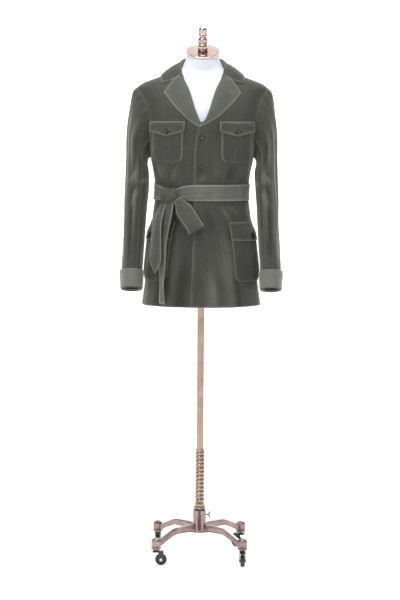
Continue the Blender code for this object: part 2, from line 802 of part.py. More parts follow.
def chest_flap(name, side):
    across, height, u = flap_grid(5, 9, CHEST_FLAP_HALF, CHEST_FLAP_TOP, CHEST_FLAP_FOOT, CHEST_FLAP_POINT)
    out = chest_flap_out(u, height)
    inside = front_point(side, CHEST_ACROSS + across, height, out)
    outside = front_point(side, CHEST_ACROSS + across, height, out + WALL)
    cloth_wall(name, inside, outside, CLOTH)


def hip_point(side, round_it, height, out):
    """A place on the hip, by its length round the body from the pocket's middle."""
    speed = np.linalg.norm(ring(HIP_ANGLE + 0.05, height) - ring(HIP_ANGLE - 0.05, height), axis=-1) / 0.1
    return body_point(on_side(HIP_ANGLE - round_it / speed, side), height, out)


def hip_swell(share, height):
    up_it = np.clip((height - HIP_FOOT) / (HIP_TOP - HIP_FOOT), 0, 1)
    return HIP_SWELL * (1 - share**6) * (1 - np.abs(2 * up_it - 1) ** 5)


def hip_pocket(name, side):
    round_it, height, u = pocket_grid(9, 10, HIP_HALF, HIP_FOOT, HIP_TOP, HIP_CORNER)
    out = WALL + PATCH + hip_swell(u, height)
    inside = hip_point(side, round_it, height, out)
    cloth_wall(name, inside, hip_point(side, round_it, height, out + WALL), CLOTH)


def hip_flap_out(u, height):
    drop = ease((HIP_FLAP_TOP - height) / HIP_FLAP_DROP)
    over = WALL + PATCH + hip_swell(np.clip(u, -0.75, 0.75), height)
    return WALL + PATCH + over * drop


def hip_flap(name, side):
    round_it, height, u = flap_grid(6, 11, HIP_FLAP_HALF, HIP_FLAP_TOP, HIP_FLAP_FOOT, HIP_FLAP_POINT)
    out = hip_flap_out(u, height)
    inside = hip_point(side, round_it, height, out)
    cloth_wall(name, inside, hip_point(side, round_it, height, out + WALL), CLOTH)


def button(name, foot, outwards):
    """A turned disc with a rounded rim, standing on the cloth."""
    disc = bmesh.new()
    bmesh.ops.create_cone(
        disc, cap_ends=True, segments=14, radius1=BUTTON_RADIUS, radius2=BUTTON_RADIUS, depth=BUTTON_THICK
    )
    mesh = bpy.data.meshes.new(name)
    disc.to_mesh(mesh)
    disc.free()
    made = place(name, mesh, HORN)
    made.rotation_euler = Vector(outwards).to_track_quat("Z", "Y").to_euler()
    made.location = Vector(foot) + Vector(outwards) * 0.5 * BUTTON_THICK
    rim = made.modifiers.new("rim", "BEVEL")
    rim.width = BUTTON_RIM
    rim.segments = 1
    rim.limit_method = "ANGLE"


def button_on(name, ground, side, across, height):
    """A button flat on the ground that it is sewn to, given as a function of place."""
    reach = BUTTON_RADIUS
    level = np.array((across, across, across, across - reach, across + reach))
    rise = np.array((height, height - reach, height + reach, height, height))
    middle, low, high, near, far = ground(side, level, rise)
    outwards = unit(np.cross(far - near, high - low)) * side
    lift = max(0.0, *((spot - middle) @ outwards for spot in (low, high, near, far)))
    button(name, middle + outwards * (lift + SEAM), outwards)


def front_ground(side, across, height):
    return front_point(side, across, height, WALL)


def chest_ground(side, across, height):
    out = chest_flap_out((across - CHEST_ACROSS) / CHEST_FLAP_HALF, height) + WALL
    return front_point(side, across, height, out)


def hip_ground(side, round_it, height):
    return hip_point(side, round_it, height, hip_flap_out(round_it / HIP_FLAP_HALF, height) + WALL)


# Belt


def belt_stand_off(angle):
    """The belt lies on the lapped front, and flat elsewhere."""
    across = read(BODY, "half_width", BELT_HEIGHT) * np.cos(angle)
    lapped = ease((0.095 - np.abs(across)) / 0.050) * (np.sin(angle) > 0)
    return WALL + LAY + BELT_LIFT + LAP_OUT * lapped


def belt_span(angle):
    """Middle height and half width of the belt: it is drawn together at the knot."""
    near = np.exp(-(((angle - KNOT_ANGLE) / BELT_DRAWN_REACH) ** 2))
    return blend(BELT_HEIGHT, KNOT_HEIGHT, near), blend(BELT_HALF, BELT_DRAWN, near)


def belt_band():
    angle = np.linspace(0, 2 * math.pi, 48, endpoint=False)[None]
    share = np.linspace(-1, 1, 3)[:, None]
    middle, half = belt_span(angle)
    height = middle + share * half
    angle = angle + 0 * share
    out = belt_stand_off(angle) + BELT_LIFT
    inside = body_point(angle, height, out)
    cloth_wall("belt_band", inside, body_point(angle, height, out + WALL), CLOTH_LIGHT, closed=True)


def knot_frame():
    """Middle of the knot, and the ways across, up and out."""
    height = np.array(KNOT_HEIGHT)
    outwards = ring_normal(np.array(KNOT_ANGLE), height)
    out = belt_stand_off(KNOT_ANGLE) + WALL + KNOT_HALF[2] - KNOT_SEAT
    middle = body_point(np.array(KNOT_ANGLE), height, out)
    across = unit(np.cross(np.array((0, 0, 1.0)), outwards)) * -1
    return middle, across, np.cross(outwards, across), outwards


def belt_knot():
    """A crossed wrap: a rounded pad with a soft groove round its waist."""
    ball = bmesh.new()
    bmesh.ops.create_uvsphere(ball, u_segments=14, v_segments=9, radius=1.0)
    middle, across, up_it, outwards = knot_frame()
    for vert in ball.verts:
        x, y, z = vert.co
        pinch = 1 - KNOT_PINCH * math.exp(-((x / 0.35) ** 2))
        spot = middle + across * x * KNOT_HALF[0]
        spot = spot - up_it * y * KNOT_HALF[1] * pinch
        vert.co = spot + outwards * z * KNOT_HALF[2] * pinch
    face_outwards(ball)
    mesh = bpy.data.meshes.new("belt_knot")
    ball.to_mesh(mesh)
    ball.free()
    mesh.shade_smooth()
    place("belt_knot", mesh, CLOTH_LIGHT)


LOOP_START = (-0.0737, 1.1911)
LOOP_END = (-0.0135, 1.093)
LOOP_HALF = 0.0245
LOOP_FRONT_OUT = (0.0165, 0.0240)
LOOP_FOLD_OUT = (0.0175, 0.0065)
LOOP_BACK_OUT = (0.0110, 0.0105)


def belt_loop():
    """The half bow: a strip from the knot to a fold, and back behind itself."""
    start, end = np.array(LOOP_START), np.array(LOOP_END)
    way = unit(end - start)
    cross = np.array((way[1], -way[0])) * -1
    steps = np.linspace(0, math.pi, 7)
    run = np.concatenate((np.linspace(0.0, 0.86, 6), 0.90 + 0.10 * np.sin(steps), np.linspace(0.86, 0.24, 5)))
    over = blend(*LOOP_FRONT_OUT, ease(np.linspace(0, 2, 6)))
    fold = LOOP_FOLD_OUT[0] + LOOP_FOLD_OUT[1] * np.cos(steps)
    out = np.concatenate((over, fold, np.linspace(*LOOP_BACK_OUT, 5)))
    shift = np.concatenate((np.zeros(6), np.linspace(0, -0.004, 7), np.linspace(-0.005, -0.010, 5)))
    half = LOOP_HALF * blend(0.50, 1.0, ease(run / 0.40))
    share = np.linspace(-1, 1, 4)
    line = start + run[:, None] * (end - start)
    flat = line[:, None] + (share[None] * half[:, None] + shift[:, None])[..., None] * cross
    points = front_point(-1, -flat[..., 0], flat[..., 1], out[:, None] + 0 * share)
    sheet_wall("belt_loop", points, CLOTH_LIGHT)


def belt_tail(name, sections, rows):
    """A strip hanging from the knot, turned partly edge-on."""
    height = np.linspace(sections["height"][0], sections["height"][-1], rows)
    across, forward, turn, half = (read(sections, c, height) for c in ("across", "forward", "turn", "half"))
    middle = np.stack((across, -forward, height), -1)
    turn = np.radians(turn)
    lean = np.stack((np.cos(turn), np.sin(turn), 0 * turn), -1)
    share = np.linspace(-1, 1, 4)
    points = middle[:, None] + share[None, :, None] * (half[:, None] * lean)[:, None]
    sheet_wall(name, points, CLOTH_LIGHT)


# Dress form


def form_ring(angle, height):
    squareness = read(BODY, "squareness", height)
    across = signed_power(np.cos(angle), 2 / squareness)
    forward = signed_power(np.sin(angle), 2 / squareness)
    wide = read(BODY, "half_width", height) - read(FORM_EASE, "side", height)
    ahead = read(BODY, "front", height) - read(FORM_EASE, "front", height)
    behind = read(BODY, "back", height) - read(FORM_EASE, "back", height)
    y = -forward * np.where(forward > 0, ahead, behind)
    return np.stack((across * wide, y, height + 0 * y), -1)


def neck_ring(angle, height, tilt, radius=NECK_RADIUS):
    """A ring of the neck, its front lower by the cap's tilt."""
    x, y = radius * np.cos(angle), -radius * np.sin(angle)
    return np.stack((x, y, height + math.tan(tilt) * y), -1)


def closed_loft(name, rings, finish):
    """Rings joined in turn, with the first and the last one filled."""
    rows, columns = rings.shape[:2]
    mesh = bpy.data.meshes.new(name)
    faces = [list(range(columns)), list(range((rows - 1) * columns, rows * columns))]
    for r in range(rows - 1):
        for c in range(columns):
            d = (c + 1) % columns
            faces.append([r * columns + c, r * columns + d, (r + 1) * columns + d, (r + 1) * columns + c])
    mesh.from_pydata(rings.reshape(-1, 3).tolist(), [], faces)
    body = bmesh.new()
    body.from_mesh(mesh)
    face_outwards(body)
    body.to_mesh(mesh)
    body.free()
    mesh.shade_smooth()
    mesh.set_sharp_from_angle(angle=math.radians(40))
    return place(name, mesh, finish)


def form():
    angle = np.linspace(0, 2 * math.pi, 24, endpoint=False)[None]
    shoulder = (1.525, 1.545, 1.556, 1.568, 1.582, 1.598, 1.611)
    heights = np.concatenate((np.linspace(FORM_FOOT, 1.50, 13), shoulder))
    torso = form_ring(angle, heights[:, None])
    climbs = (0.35, 0.75, 1.0)
    neck = [neck_ring(angle[0], NECK_TOP - NECK_RISE * (1 - s), CAP_TILT * s) for s in climbs]
    closed_loft("form", np.concatenate((torso, np.stack(neck))), FORM_WHITE)


def neck_cap():
    angle = np.linspace(0, 2 * math.pi, 24, endpoint=False)
    low = NECK_TOP + CAP_GAP
    levels = ((0.0, 0.0), (0.0, 0.0012), (0.72, 0.0012), (1.0, -0.0006))
    rings = [neck_ring(angle, low + t * CAP_THICK, CAP_TILT, NECK_RADIUS + grow) for t, grow in levels]
    closed_loft("neck_cap", np.stack(rings), COPPER)


def turned(name, profile, finish, steps=16):
    """A profile of radius and height, from the top down, spun about the upright."""
    mesh = bpy.data.meshes.new(name)
    edges = [(k, k + 1) for k in range(len(profile) - 1)]
    mesh.from_pydata([(radius, 0.0, height) for radius, height in profile], edges, [])
    made = place(name, mesh, finish)
    spin = made.modifiers.new("spin", "SCREW")
    spin.steps = steps
    spin.render_steps = steps
    spin.use_merge_vertices = True
    spin.merge_threshold = 0.00001
    return made


def finial():
    """Stacked beads under a ball, cut to the slope of the cap."""
    base = NECK_TOP + CAP_THICK
    ball_middle = FINIAL_TOP - FINIAL_BALL
    turns = np.linspace(0, 2.15, 7)
    dome = [(FINIAL_BALL * math.sin(t), ball_middle + FINIAL_BALL * math.cos(t)) for t in turns]
    beads = [(radius, base + height) for height, radius in zip(FINIAL["height"], FINIAL["radius"])]
    foot = base - FINIAL_SPARE
    profile = dome + beads[::-1] + [(beads[0][0], foot), (0.0, foot)]
    made = turned("finial", profile, COPPER, 12)
    depsgraph = bpy.context.evaluated_depsgraph_get()
    mesh = bpy.data.meshes.new_from_object(made.evaluated_get(depsgraph))
    cut = bmesh.new()
    cut.from_mesh(mesh)
    slope = Vector((0, -math.sin(CAP_TILT), math.cos(CAP_TILT)))
    found = bmesh.ops.bisect_plane(
        cut, geom=cut.verts[:] + cut.edges[:] + cut.faces[:], dist=0.000001,
        plane_co=(0, 0, base + FINIAL_GAP), plane_no=slope, clear_inner=True,
    )
    rim = [piece for piece in found["geom_cut"] if isinstance(piece, bmesh.types.BMEdge)]
    bmesh.ops.contextual_create(cut, geom=rim)
    face_outwards(cut)
    cut.to_mesh(mesh)
    cut.free()
    made.modifiers.clear()
    made.data = mesh
    mesh.shade_smooth()
    mesh.set_sharp_from_angle(angle=math.radians(50))


# Stand


def pole():
    top = FORM_FOOT - SEAM
    profile = [(0.0, top), (POLE_RADIUS, top), (POLE_RADIUS, POLE_FOOT), (0.0, POLE_FOOT)]
    turned("pole", profile, COPPER, 20)


def twist_sleeve():
    """A tube round the pole's foot, with a ring at its top and a bell at its foot."""
    low = COLUMN_TOP + SEAM
    profile = [
        (TWIST_BORE, TWIST_TOP),
        (TWIST_RING, TWIST_TOP),
        (TWIST_RING, TWIST_TOP - 0.006),
        (TWIST_RADIUS, TWIST_TOP - 0.007),
        (TWIST_RADIUS, low + 0.020),
        (TWIST_BELL, low + 0.006),
        (TWIST_BELL, low),
        (TWIST_BORE, low),
        (TWIST_BORE, TWIST_TOP),
    ]
    turned("twist_sleeve", profile, COPPER, 16)


def column():
    """A fluted post with a flat for each leg, with a blind bore that the pole rests in."""
    sides = 16
    angle = np.linspace(0, 2 * math.pi, sides, endpoint=False) + math.pi / sides
    flute = 1.0 - 0.05 * (np.arange(sides) % 4 >= 2)
    outer = COLUMN_FLAT / math.cos(math.pi / sides) * flute
    bore = np.full(sides, BORE_RADIUS)
    floor = POLE_FOOT - SEAM
    levels = (
        (0.93 * outer, COLUMN_FOOT), (outer, COLUMN_FOOT + 0.004), (outer, COLUMN_TOP - 0.006),
        (0.88 * outer, COLUMN_TOP), (bore, COLUMN_TOP), (bore, floor),
    )
    rings = [np.stack((r * np.cos(angle), r * np.sin(angle), np.full(sides, z)), -1) for r, z in levels]
    closed_loft("column", np.stack(rings), BRONZE).data.shade_flat()


def leg(name, turn):
    """A humped bar from the column to the castor's socket."""
    reach = np.linspace(LEG["reach"][0], LEG["reach"][-1], 8)
    height = read(LEG, "height", reach, "reach")
    deep = read(LEG, "half_depth", reach, "reach")
    corner = np.linspace(0, 2 * math.pi, 8, endpoint=False) + math.pi / 8
    side = LEG_HALF * np.cos(corner) / math.cos(math.pi / 8)
    rise = np.sin(corner) / math.cos(math.pi / 8)
    x, y, z = np.broadcast_arrays(reach[:, None], side, height[:, None] + deep[:, None] * rise)
    rings = np.stack((x, y, z), -1)
    spun = np.array(Matrix.Rotation(turn, 3, "Z"))
    closed_loft(name, rings @ spun.T, BRONZE)


def socket(name, x, y):
    """The domed cup on a leg's end, which holds a castor's stem."""
    dome = SOCKET_RADIUS * 0.75
    shoulder = SOCKET_TOP - dome
    turns = np.linspace(0, math.pi / 2, 5)
    profile = [(SOCKET_RADIUS * math.sin(t), shoulder + dome * math.cos(t)) for t in turns]
    profile.append((SOCKET_RADIUS, SOCKET_FOOT + SOCKET_RIM))
    profile.append((SOCKET_RADIUS - SOCKET_RIM, SOCKET_FOOT))
    profile.append((0.0, SOCKET_FOOT))
    made = turned(name, profile, BRONZE, 12)
    made.location = (x, y, 0)


def wing_screw():
    """A clamping screw through the column's side, with two wings."""
    head = bmesh.new()
    turn = Matrix.Rotation(math.pi / 2, 4, "Y")
    bmesh.ops.create_cone(
        head, cap_ends=True, segments=10, radius1=SCREW_RADIUS, radius2=SCREW_RADIUS, depth=SCREW_LENGTH,
        matrix=Matrix.Translation((0.5 * SCREW_LENGTH, 0, 0)) @ turn,
    )
    mesh = bpy.data.meshes.new("wing_screw")
    head.to_mesh(mesh)
    head.free()
    made = place("wing_screw", mesh, STEEL)
    made.location = (SCREW_START, 0, SCREW_HEIGHT)
    for name, lean in (("wing_up", 1), ("wing_down", -1)):
        wing = bmesh.new()
        bmesh.ops.create_cube(wing, size=1.0, matrix=Matrix.Diagonal((*WING_SIZE, 1)))
        plate = bpy.data.meshes.new(name)
        wing.to_mesh(plate)
        wing.free()
        cutter = bpy.data.objects.new(name, plate)
        CUTTERS.objects.link(cutter)
        cutter.location = (WING_SPOT, 0, SCREW_HEIGHT + lean * WING_RISE)
        cutter.rotation_euler = (0, lean * WING_LEAN, 0)
        cutter.hide_render = True
        cutter.display_type = "WIRE"
        join = made.modifiers.new(name, "BOOLEAN")
        join.operation = "UNION"
        join.object = cutter


# Castors


def box_mesh(name, low, high):
    low, high = Vector(low), Vector(high)
    cube = bmesh.new()
    size = Matrix.Diagonal((*(high - low), 1))
    bmesh.ops.create_cube(cube, size=1.0, matrix=Matrix.Translation((low + high) / 2) @ size)
    mesh = bpy.data.meshes.new(name)
    cube.to_mesh(mesh)
    cube.free()
    return mesh


def rod_mesh(name, foot, depth, radius, along_y, sides=12):
    rod = bmesh.new()
    turn = Matrix.Rotation(math.pi / 2, 4, "X") if along_y else Matrix.Identity(4)
    bmesh.ops.create_cone(
        rod, cap_ends=True, segments=sides, radius1=radius, radius2=radius, depth=depth,
        matrix=Matrix.Translation(foot) @ turn,
    )
    mesh = bpy.data.meshes.new(name)
    rod.to_mesh(mesh)
    rod.free()
    return mesh


def join_to(made, mesh, holder):
    """Fuse one more shape into a piece."""
    cutter = bpy.data.objects.new(mesh.name, mesh)
    CUTTERS.objects.link(cutter)
    cutter.parent = holder
    cutter.hide_render = True
    cutter.display_type = "WIRE"
    join = made.modifiers.new(mesh.name, "BOOLEAN")
    join.operation = "UNION"
    join.object = cutter


def castor(name, x, y, swing, brake):
    """A swivelling fork, its wheel and its brake lever, all under one empty on the swivel axis."""
    holder = bpy.data.objects.new("swivel_" + name, None)
    holder.location = (x, y, 0)
    holder.rotation_euler = (0, 0, swing)
    PARTS.objects.link(holder)
    inner = WHEEL_HALF + FORK_GAP
    outer = inner + FORK_CHEEK
    plate = box_mesh("fork_" + name, (FORK_NOSE, -outer, FORK_UNDER), (FORK_TAIL, outer, FORK_TOP))
    fork = place("fork_" + name, plate, BLACK)
    fork.parent = holder
    for mark, near in (("a", inner - CHEEK_INSET), ("b", CHEEK_INSET - outer)):
        low = (CHEEK_FRONT, near, CHEEK_FOOT)
        high = (CHEEK_TAIL, near + FORK_CHEEK, FORK_UNDER + 0.001)
        join_to(fork, box_mesh("cheek_" + mark + "_" + name, low, high), holder)
    axle_length = 2 * outer + 0.001
    axle = rod_mesh("axle_" + name, (TRAIL, 0, WHEEL_CENTRE), axle_length, AXLE_RADIUS, True, 10)
    join_to(fork, axle, holder)
    stem_depth = SOCKET_FOOT - SEAM - FORK_TOP + 0.001
    stem_middle = SOCKET_FOOT - SEAM - 0.5 * stem_depth
    join_to(fork, rod_mesh("stem_" + name, (0, 0, stem_middle), stem_depth, STEM_RADIUS, False), holder)
    profile = [
        (WHEEL_BORE, WHEEL_HALF),
        (WHEEL_EDGE, WHEEL_HALF),
        (WHEEL_RADIUS, TREAD_HALF),
        (WHEEL_RADIUS, -TREAD_HALF),
        (WHEEL_EDGE, -WHEEL_HALF),
        (WHEEL_BORE, -WHEEL_HALF),
        (WHEEL_BORE, WHEEL_HALF),
    ]
    wheel = turned("wheel_" + name, profile, BLACK, WHEEL_FACETS)
    wheel.parent = holder
    wheel.location = (TRAIL, 0, WHEEL_CENTRE)
    wheel.rotation_euler = (math.pi / 2, math.pi / WHEEL_FACETS, 0)
    if brake:
        wide, thick = LEVER_HALF
        lever = box_mesh("brake_" + name, (LEVER_START, -wide, -thick), (LEVER_END, wide, thick))
        made = place("brake_" + name, lever, BLACK)
        made.parent = holder
        made.location = (FORK_TAIL + SEAM, 0, LEVER_HEIGHT)
        made.rotation_euler = (0, LEVER_TILT, 0)


for leftover in list(bpy.data.objects):
    bpy.data.objects.remove(leftover)
PARTS = bpy.data.collections.new("jacket_on_dress_form_stand")
CUTTERS = bpy.data.collections.new("cutters")
bpy.context.scene.collection.children.link(PARTS)
bpy.context.scene.collection.children.link(CUTTERS)
CLOTH = material("olive_cord_cloth", (0.075, 0.079, 0.064), 0.85)
CLOTH_LIGHT = material("olive_cord_cloth_turned", (0.115, 0.120, 0.104), 0.85)
HORN = material("dark_horn", (0.030, 0.024, 0.020), 0.30)
FORM_WHITE = material("white_form_cover", (0.80, 0.81, 0.86), 0.55)
COPPER = material("rose_copper", (0.70, 0.43, 0.34), 0.18, 1.0)
BRONZE = material("satin_bronze", (0.42, 0.31, 0.27), 0.32, 1.0)
STEEL = material("dark_steel", (0.20, 0.18, 0.20), 0.35, 1.0)
BLACK = material("black_plastic", (0.020, 0.021, 0.022), 0.45)

front("front_left", 1, 1.0)
front("front_right", -1, 0.75)
back()
full_turn = 2 * math.pi
for word, hand in (("left", 1), ("right", -1)):
    sleeve_piece("top_sleeve_" + word, hand, SLEEVE_BACK_SEAM - full_turn, SLEEVE_FRONT_SEAM, TOP_COLUMNS)
    sleeve_piece("under_sleeve_" + word, hand, SLEEVE_FRONT_SEAM, SLEEVE_BACK_SEAM, UNDER_COLUMNS)
    cuff("cuff_" + word, hand)
    chest_pocket("chest_pocket_" + word, hand)
    chest_flap("chest_flap_" + word, hand)
    hip_pocket("hip_pocket_" + word, hand)
    hip_flap("hip_flap_" + word, hand)
    button_on("chest_button_" + word, chest_ground, hand, CHEST_ACROSS, CHEST_BUTTON)
    button_on("hip_button_" + word, hip_ground, hand, 0.0, HIP_BUTTON)
lapel("lapel_left", 1, (-0.008, 1.431), (-0.004, 1.4215))
lapel("lapel_right", -1, (0.014, 1.452), (0.028, 1.432))
sheet_wall("collar", collar_points(COLLAR_COLUMNS), CLOTH)
for count, level in enumerate(FRONT_BUTTONS, 1):
    button_on("front_button_%d" % count, front_ground, 1, 0.0, level)
belt_band()
belt_knot()
belt_loop()
belt_tail("belt_tail_long", LONG_TAIL, 12)
belt_tail("belt_tail_short", SHORT_TAIL, 10)
form()
neck_cap()
finial()
pole()
twist_sleeve()
column()
wing_screw()
for word, way_x, way_y, swing, brake in CASTORS:
    spot = LEG_REACH * math.sqrt(0.5)
    leg("leg_" + word, math.atan2(way_y, way_x))
    socket("socket_" + word, way_x * spot, way_y * spot)
    castor(word, way_x * spot, way_y * spot, math.radians(swing), brake)
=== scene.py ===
"""Looks of the belted corduroy jacket on its dress form stand: fine cloth, stitching, metal and light."""

import math

import bpy
import numpy as np
from mathutils import Matrix
from mathutils import Vector


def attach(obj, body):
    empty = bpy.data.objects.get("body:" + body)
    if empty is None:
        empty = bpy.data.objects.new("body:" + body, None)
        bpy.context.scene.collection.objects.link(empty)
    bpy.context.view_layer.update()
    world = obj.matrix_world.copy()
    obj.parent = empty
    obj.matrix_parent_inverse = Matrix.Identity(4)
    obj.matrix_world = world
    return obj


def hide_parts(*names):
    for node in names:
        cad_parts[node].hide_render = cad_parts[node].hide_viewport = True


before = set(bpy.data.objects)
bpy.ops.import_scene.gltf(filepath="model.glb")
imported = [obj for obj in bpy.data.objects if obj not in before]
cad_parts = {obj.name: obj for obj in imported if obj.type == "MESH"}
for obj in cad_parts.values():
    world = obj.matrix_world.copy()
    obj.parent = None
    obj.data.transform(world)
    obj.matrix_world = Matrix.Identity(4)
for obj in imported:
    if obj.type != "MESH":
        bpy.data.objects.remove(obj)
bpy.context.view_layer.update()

# Sizes shared with the solids

WALL = 0.0018
CLOSE = 0.0004
LAP_OUT = 0.0025
HEM = 0.845
BELT_HEIGHT = 1.212
BREAK = 1.430
GORGE = 1.587
SHOULDER = 1.549
NECK = 1.612
ARMHOLE_LOW = 1.3245
ARMHOLE_FRONT = 0.058
ARMHOLE_BACK = 0.072
ARMHOLE_SEAM = math.pi
ARMHOLE_GAP = 0.0008
SIDE_SEAM = math.radians(-24)
SLEEVE_FRONT_SEAM = math.radians(118)
SLEEVE_BACK_SEAM = math.radians(244)
CHEST_ACROSS = 0.110
CHEST_HALF = 0.048
CHEST_TOP = 1.424
CHEST_FOOT = 1.310
CHEST_CORNER = 0.024
CHEST_SWELL = 0.004
CHEST_PLEAT = 0.0016
CHEST_FLAP_HALF = 0.054
CHEST_FLAP_TOP = 1.440
CHEST_FLAP_FOOT = 1.410
CHEST_FLAP_POINT = 0.015
LAPEL_TIP = (0.124, 1.532)
LAPEL_BELLY = (0.064, 1.452)
LAPEL_NOTCH = (0.0930, 1.5725)
LAPEL_TOP = GORGE + 0.0010
# Foot of the roll line and foot of the outer edge
LAPEL_LEFT = ((-0.0095, 1.4295), (-0.0072, 1.4232))
LAPEL_RIGHT = ((0.0085, 1.4450), (0.0130, 1.4250))
BUTTONHOLE = (0.089, 1.536)
HIP_ANGLE = math.radians(24)
HIP_HALF = 0.078
HIP_TOP = 1.100
HIP_FOOT = 0.925
HIP_CORNER = 0.024
HIP_SWELL = 0.010
HIP_FLAP_HALF = 0.083
HIP_FLAP_TOP = 1.117
HIP_FLAP_FOOT = 1.060
HIP_FLAP_POINT = 0.006
BUTTON_RADIUS = 0.0098
BUTTON_THICK = 0.0036
FRONT_BUTTONS = (1.389, 1.295)
CHEST_BUTTON = 1.409
HIP_BUTTON = 1.072
BELT_HALF = 0.026
KNOT_ANGLE = math.radians(129)
KNOT_HEIGHT = 1.204
KNOT_HALF = (0.034, 0.0245, 0.0110)
LOOP_START = (-0.0737, 1.1911)
LOOP_END = (-0.0135, 1.093)
LOOP_HALF = 0.0245
FORM_FOOT = 0.918
NECK_RADIUS = 0.054
NECK_TOP = 1.662
CAP_TILT = math.radians(23)
CAP_SLOPE = (0, -math.sin(CAP_TILT), math.cos(CAP_TILT))
CAP_THICK = 0.007
FINIAL_TOP = 1.748
FINIAL_BALL = 0.0155
POLE_RADIUS = 0.01125
POLE_FOOT = 0.090
TWIST_TOP = 0.360
TWIST_RADIUS = 0.0142
TWIST_BORE = 0.0117
COLUMN_TOP = 0.168
COLUMN_FOOT = 0.078
COLUMN_FLAT = 0.0215
BORE_RADIUS = 0.0122
LEG_REACH = 0.199
LEG_HALF = 0.0080
SOCKET_RADIUS = 0.0165
SOCKET_TOP = 0.090
SOCKET_FOOT = 0.052
WHEEL_RADIUS = 0.0195
WHEEL_HALF = 0.0070
WHEEL_CENTRE = WHEEL_RADIUS * math.cos(math.pi / 16)
AXLE_RADIUS = 0.0032
TRAIL = 0.016
FORK_GAP = 0.0008
FORK_CHEEK = 0.0025
FORK_TOP = 0.0465
FORK_UNDER = 0.0425


def table(columns, *rows):
    """Named columns of a short table, a row for each section."""
    return dict(zip(columns.split(), np.array(rows, dtype=float).T))


BODY = table(
    "height half_width front back squareness",
    (0.845, 0.192, 0.150, 0.140, 2.3),
    (0.950, 0.178, 0.142, 0.133, 2.3),
    (1.050, 0.167, 0.134, 0.125, 2.3),
    (1.130, 0.159, 0.126, 0.115, 2.3),
    (1.212, 0.150, 0.116, 0.104, 2.3),
    (1.270, 0.156, 0.119, 0.108, 2.3),
    (1.330, 0.168, 0.127, 0.118, 2.3),
    (1.400, 0.179, 0.130, 0.125, 2.35),
    (1.460, 0.189, 0.121, 0.126, 2.3),
    (1.510, 0.202, 0.102, 0.120, 2.15),
    (1.545, 0.212, 0.085, 0.108, 2.0),
    (1.560, 0.196, 0.077, 0.101, 1.9),
    (1.575, 0.160, 0.069, 0.094, 1.85),
    (1.590, 0.118, 0.061, 0.086, 1.9),
    (1.605, 0.084, 0.055, 0.079, 2.0),
    (1.620, 0.067, 0.052, 0.074, 2.0),
)

FOLDS = table(
    "angle_top top angle_foot foot spread depth",
    (68, 1.175, 62, 0.845, 0.024, 0.0050),
    (118, 1.170, 121, 0.845, 0.022, 0.0045),
    (150, 1.150, 152, 0.845, 0.026, 0.0060),
    (20, 1.150, 16, 0.845, 0.026, 0.0045),
    (214, 1.180, 210, 0.845, 0.024, 0.0055),
    (248, 1.180, 246, 0.845, 0.022, 0.0045),
    (284, 1.180, 287, 0.845, 0.024, 0.0055),
    (322, 1.180, 326, 0.845, 0.024, 0.0050),
    (72, 1.345, 75, 1.235, 0.016, 0.0030),
    (40, 1.330, 44, 1.235, 0.018, 0.0035),
    (138, 1.330, 134, 1.235, 0.018, 0.0035),
    (232, 1.340, 236, 1.235, 0.020, 0.0035),
    (300, 1.340, 297, 1.235, 0.020, 0.0035),
)

# Creases of the body, finer than the folds: soft ridges, or troughs where the depth is negative
CREASES = table(
    "angle_top top angle_foot foot spread depth",
    (74, 1.186, 56, 1.110, 0.009, 0.0045),
    (62, 1.184, 44, 1.130, 0.010, 0.0034),
    (86, 1.186, 78, 1.060, 0.010, -0.0031),
    (110, 1.186, 98, 1.075, 0.010, 0.0036),
    (122, 1.180, 112, 1.090, 0.008, -0.0028),
    (138, 1.180, 150, 1.070, 0.010, 0.0039),
    (30, 1.186, 26, 1.128, 0.010, 0.0031),
    (56, 1.310, 62, 1.240, 0.010, -0.0028),
    (30, 1.350, 22, 1.240, 0.012, 0.0042),
    (84, 1.280, 96, 1.236, 0.009, 0.0031),
    (118, 1.300, 126, 1.236, 0.009, 0.0039),
    (148, 1.320, 140, 1.240, 0.010, 0.0036),
    (160, 1.350, 166, 1.245, 0.012, 0.0036),
    (222, 1.186, 219, 1.060, 0.010, 0.0034),
    (238, 1.186, 240, 1.040, 0.011, -0.0031),
    (262, 1.186, 260, 1.020, 0.012, 0.0039),
    (276, 1.186, 280, 1.070, 0.010, -0.0028),
    (300, 1.186, 298, 1.040, 0.011, 0.0036),
    (318, 1.186, 320, 1.090, 0.010, 0.0028),
    (218, 1.330, 224, 1.238, 0.012, 0.0036),
    (250, 1.380, 252, 1.238, 0.013, 0.0039),
    (268, 1.340, 266, 1.238, 0.010, -0.0025),
    (286, 1.390, 284, 1.238, 0.013, 0.0039),
    (312, 1.330, 306, 1.238, 0.012, 0.0034),
    (56, 1.020, 53, 0.845, 0.014, -0.0042),
    (84, 1.000, 80, 0.845, 0.016, 0.0042),
    (104, 1.060, 108, 0.845, 0.015, -0.0048),
    (132, 1.000, 134, 0.845, 0.014, -0.0042),
    (228, 1.060, 229, 0.845, 0.015, -0.0045),
    (266, 1.100, 266, 0.845, 0.017, -0.0050),
    (304, 1.060, 306, 0.845, 0.015, -0.0045),
)

EDGE = table(
    "height lap",
    (0.845, 0.0340),
    (1.000, 0.0280),
    (1.200, 0.0245),
    (1.330, 0.0250),
    (1.385, 0.0185),
    (1.430, 0.0100),
)

ROLL = table(
    "height across",
    (1.430, -0.010),
    (1.445, 0.0105),
    (1.475, 0.024),
    (1.540, 0.045),
    (1.587, 0.068),
)

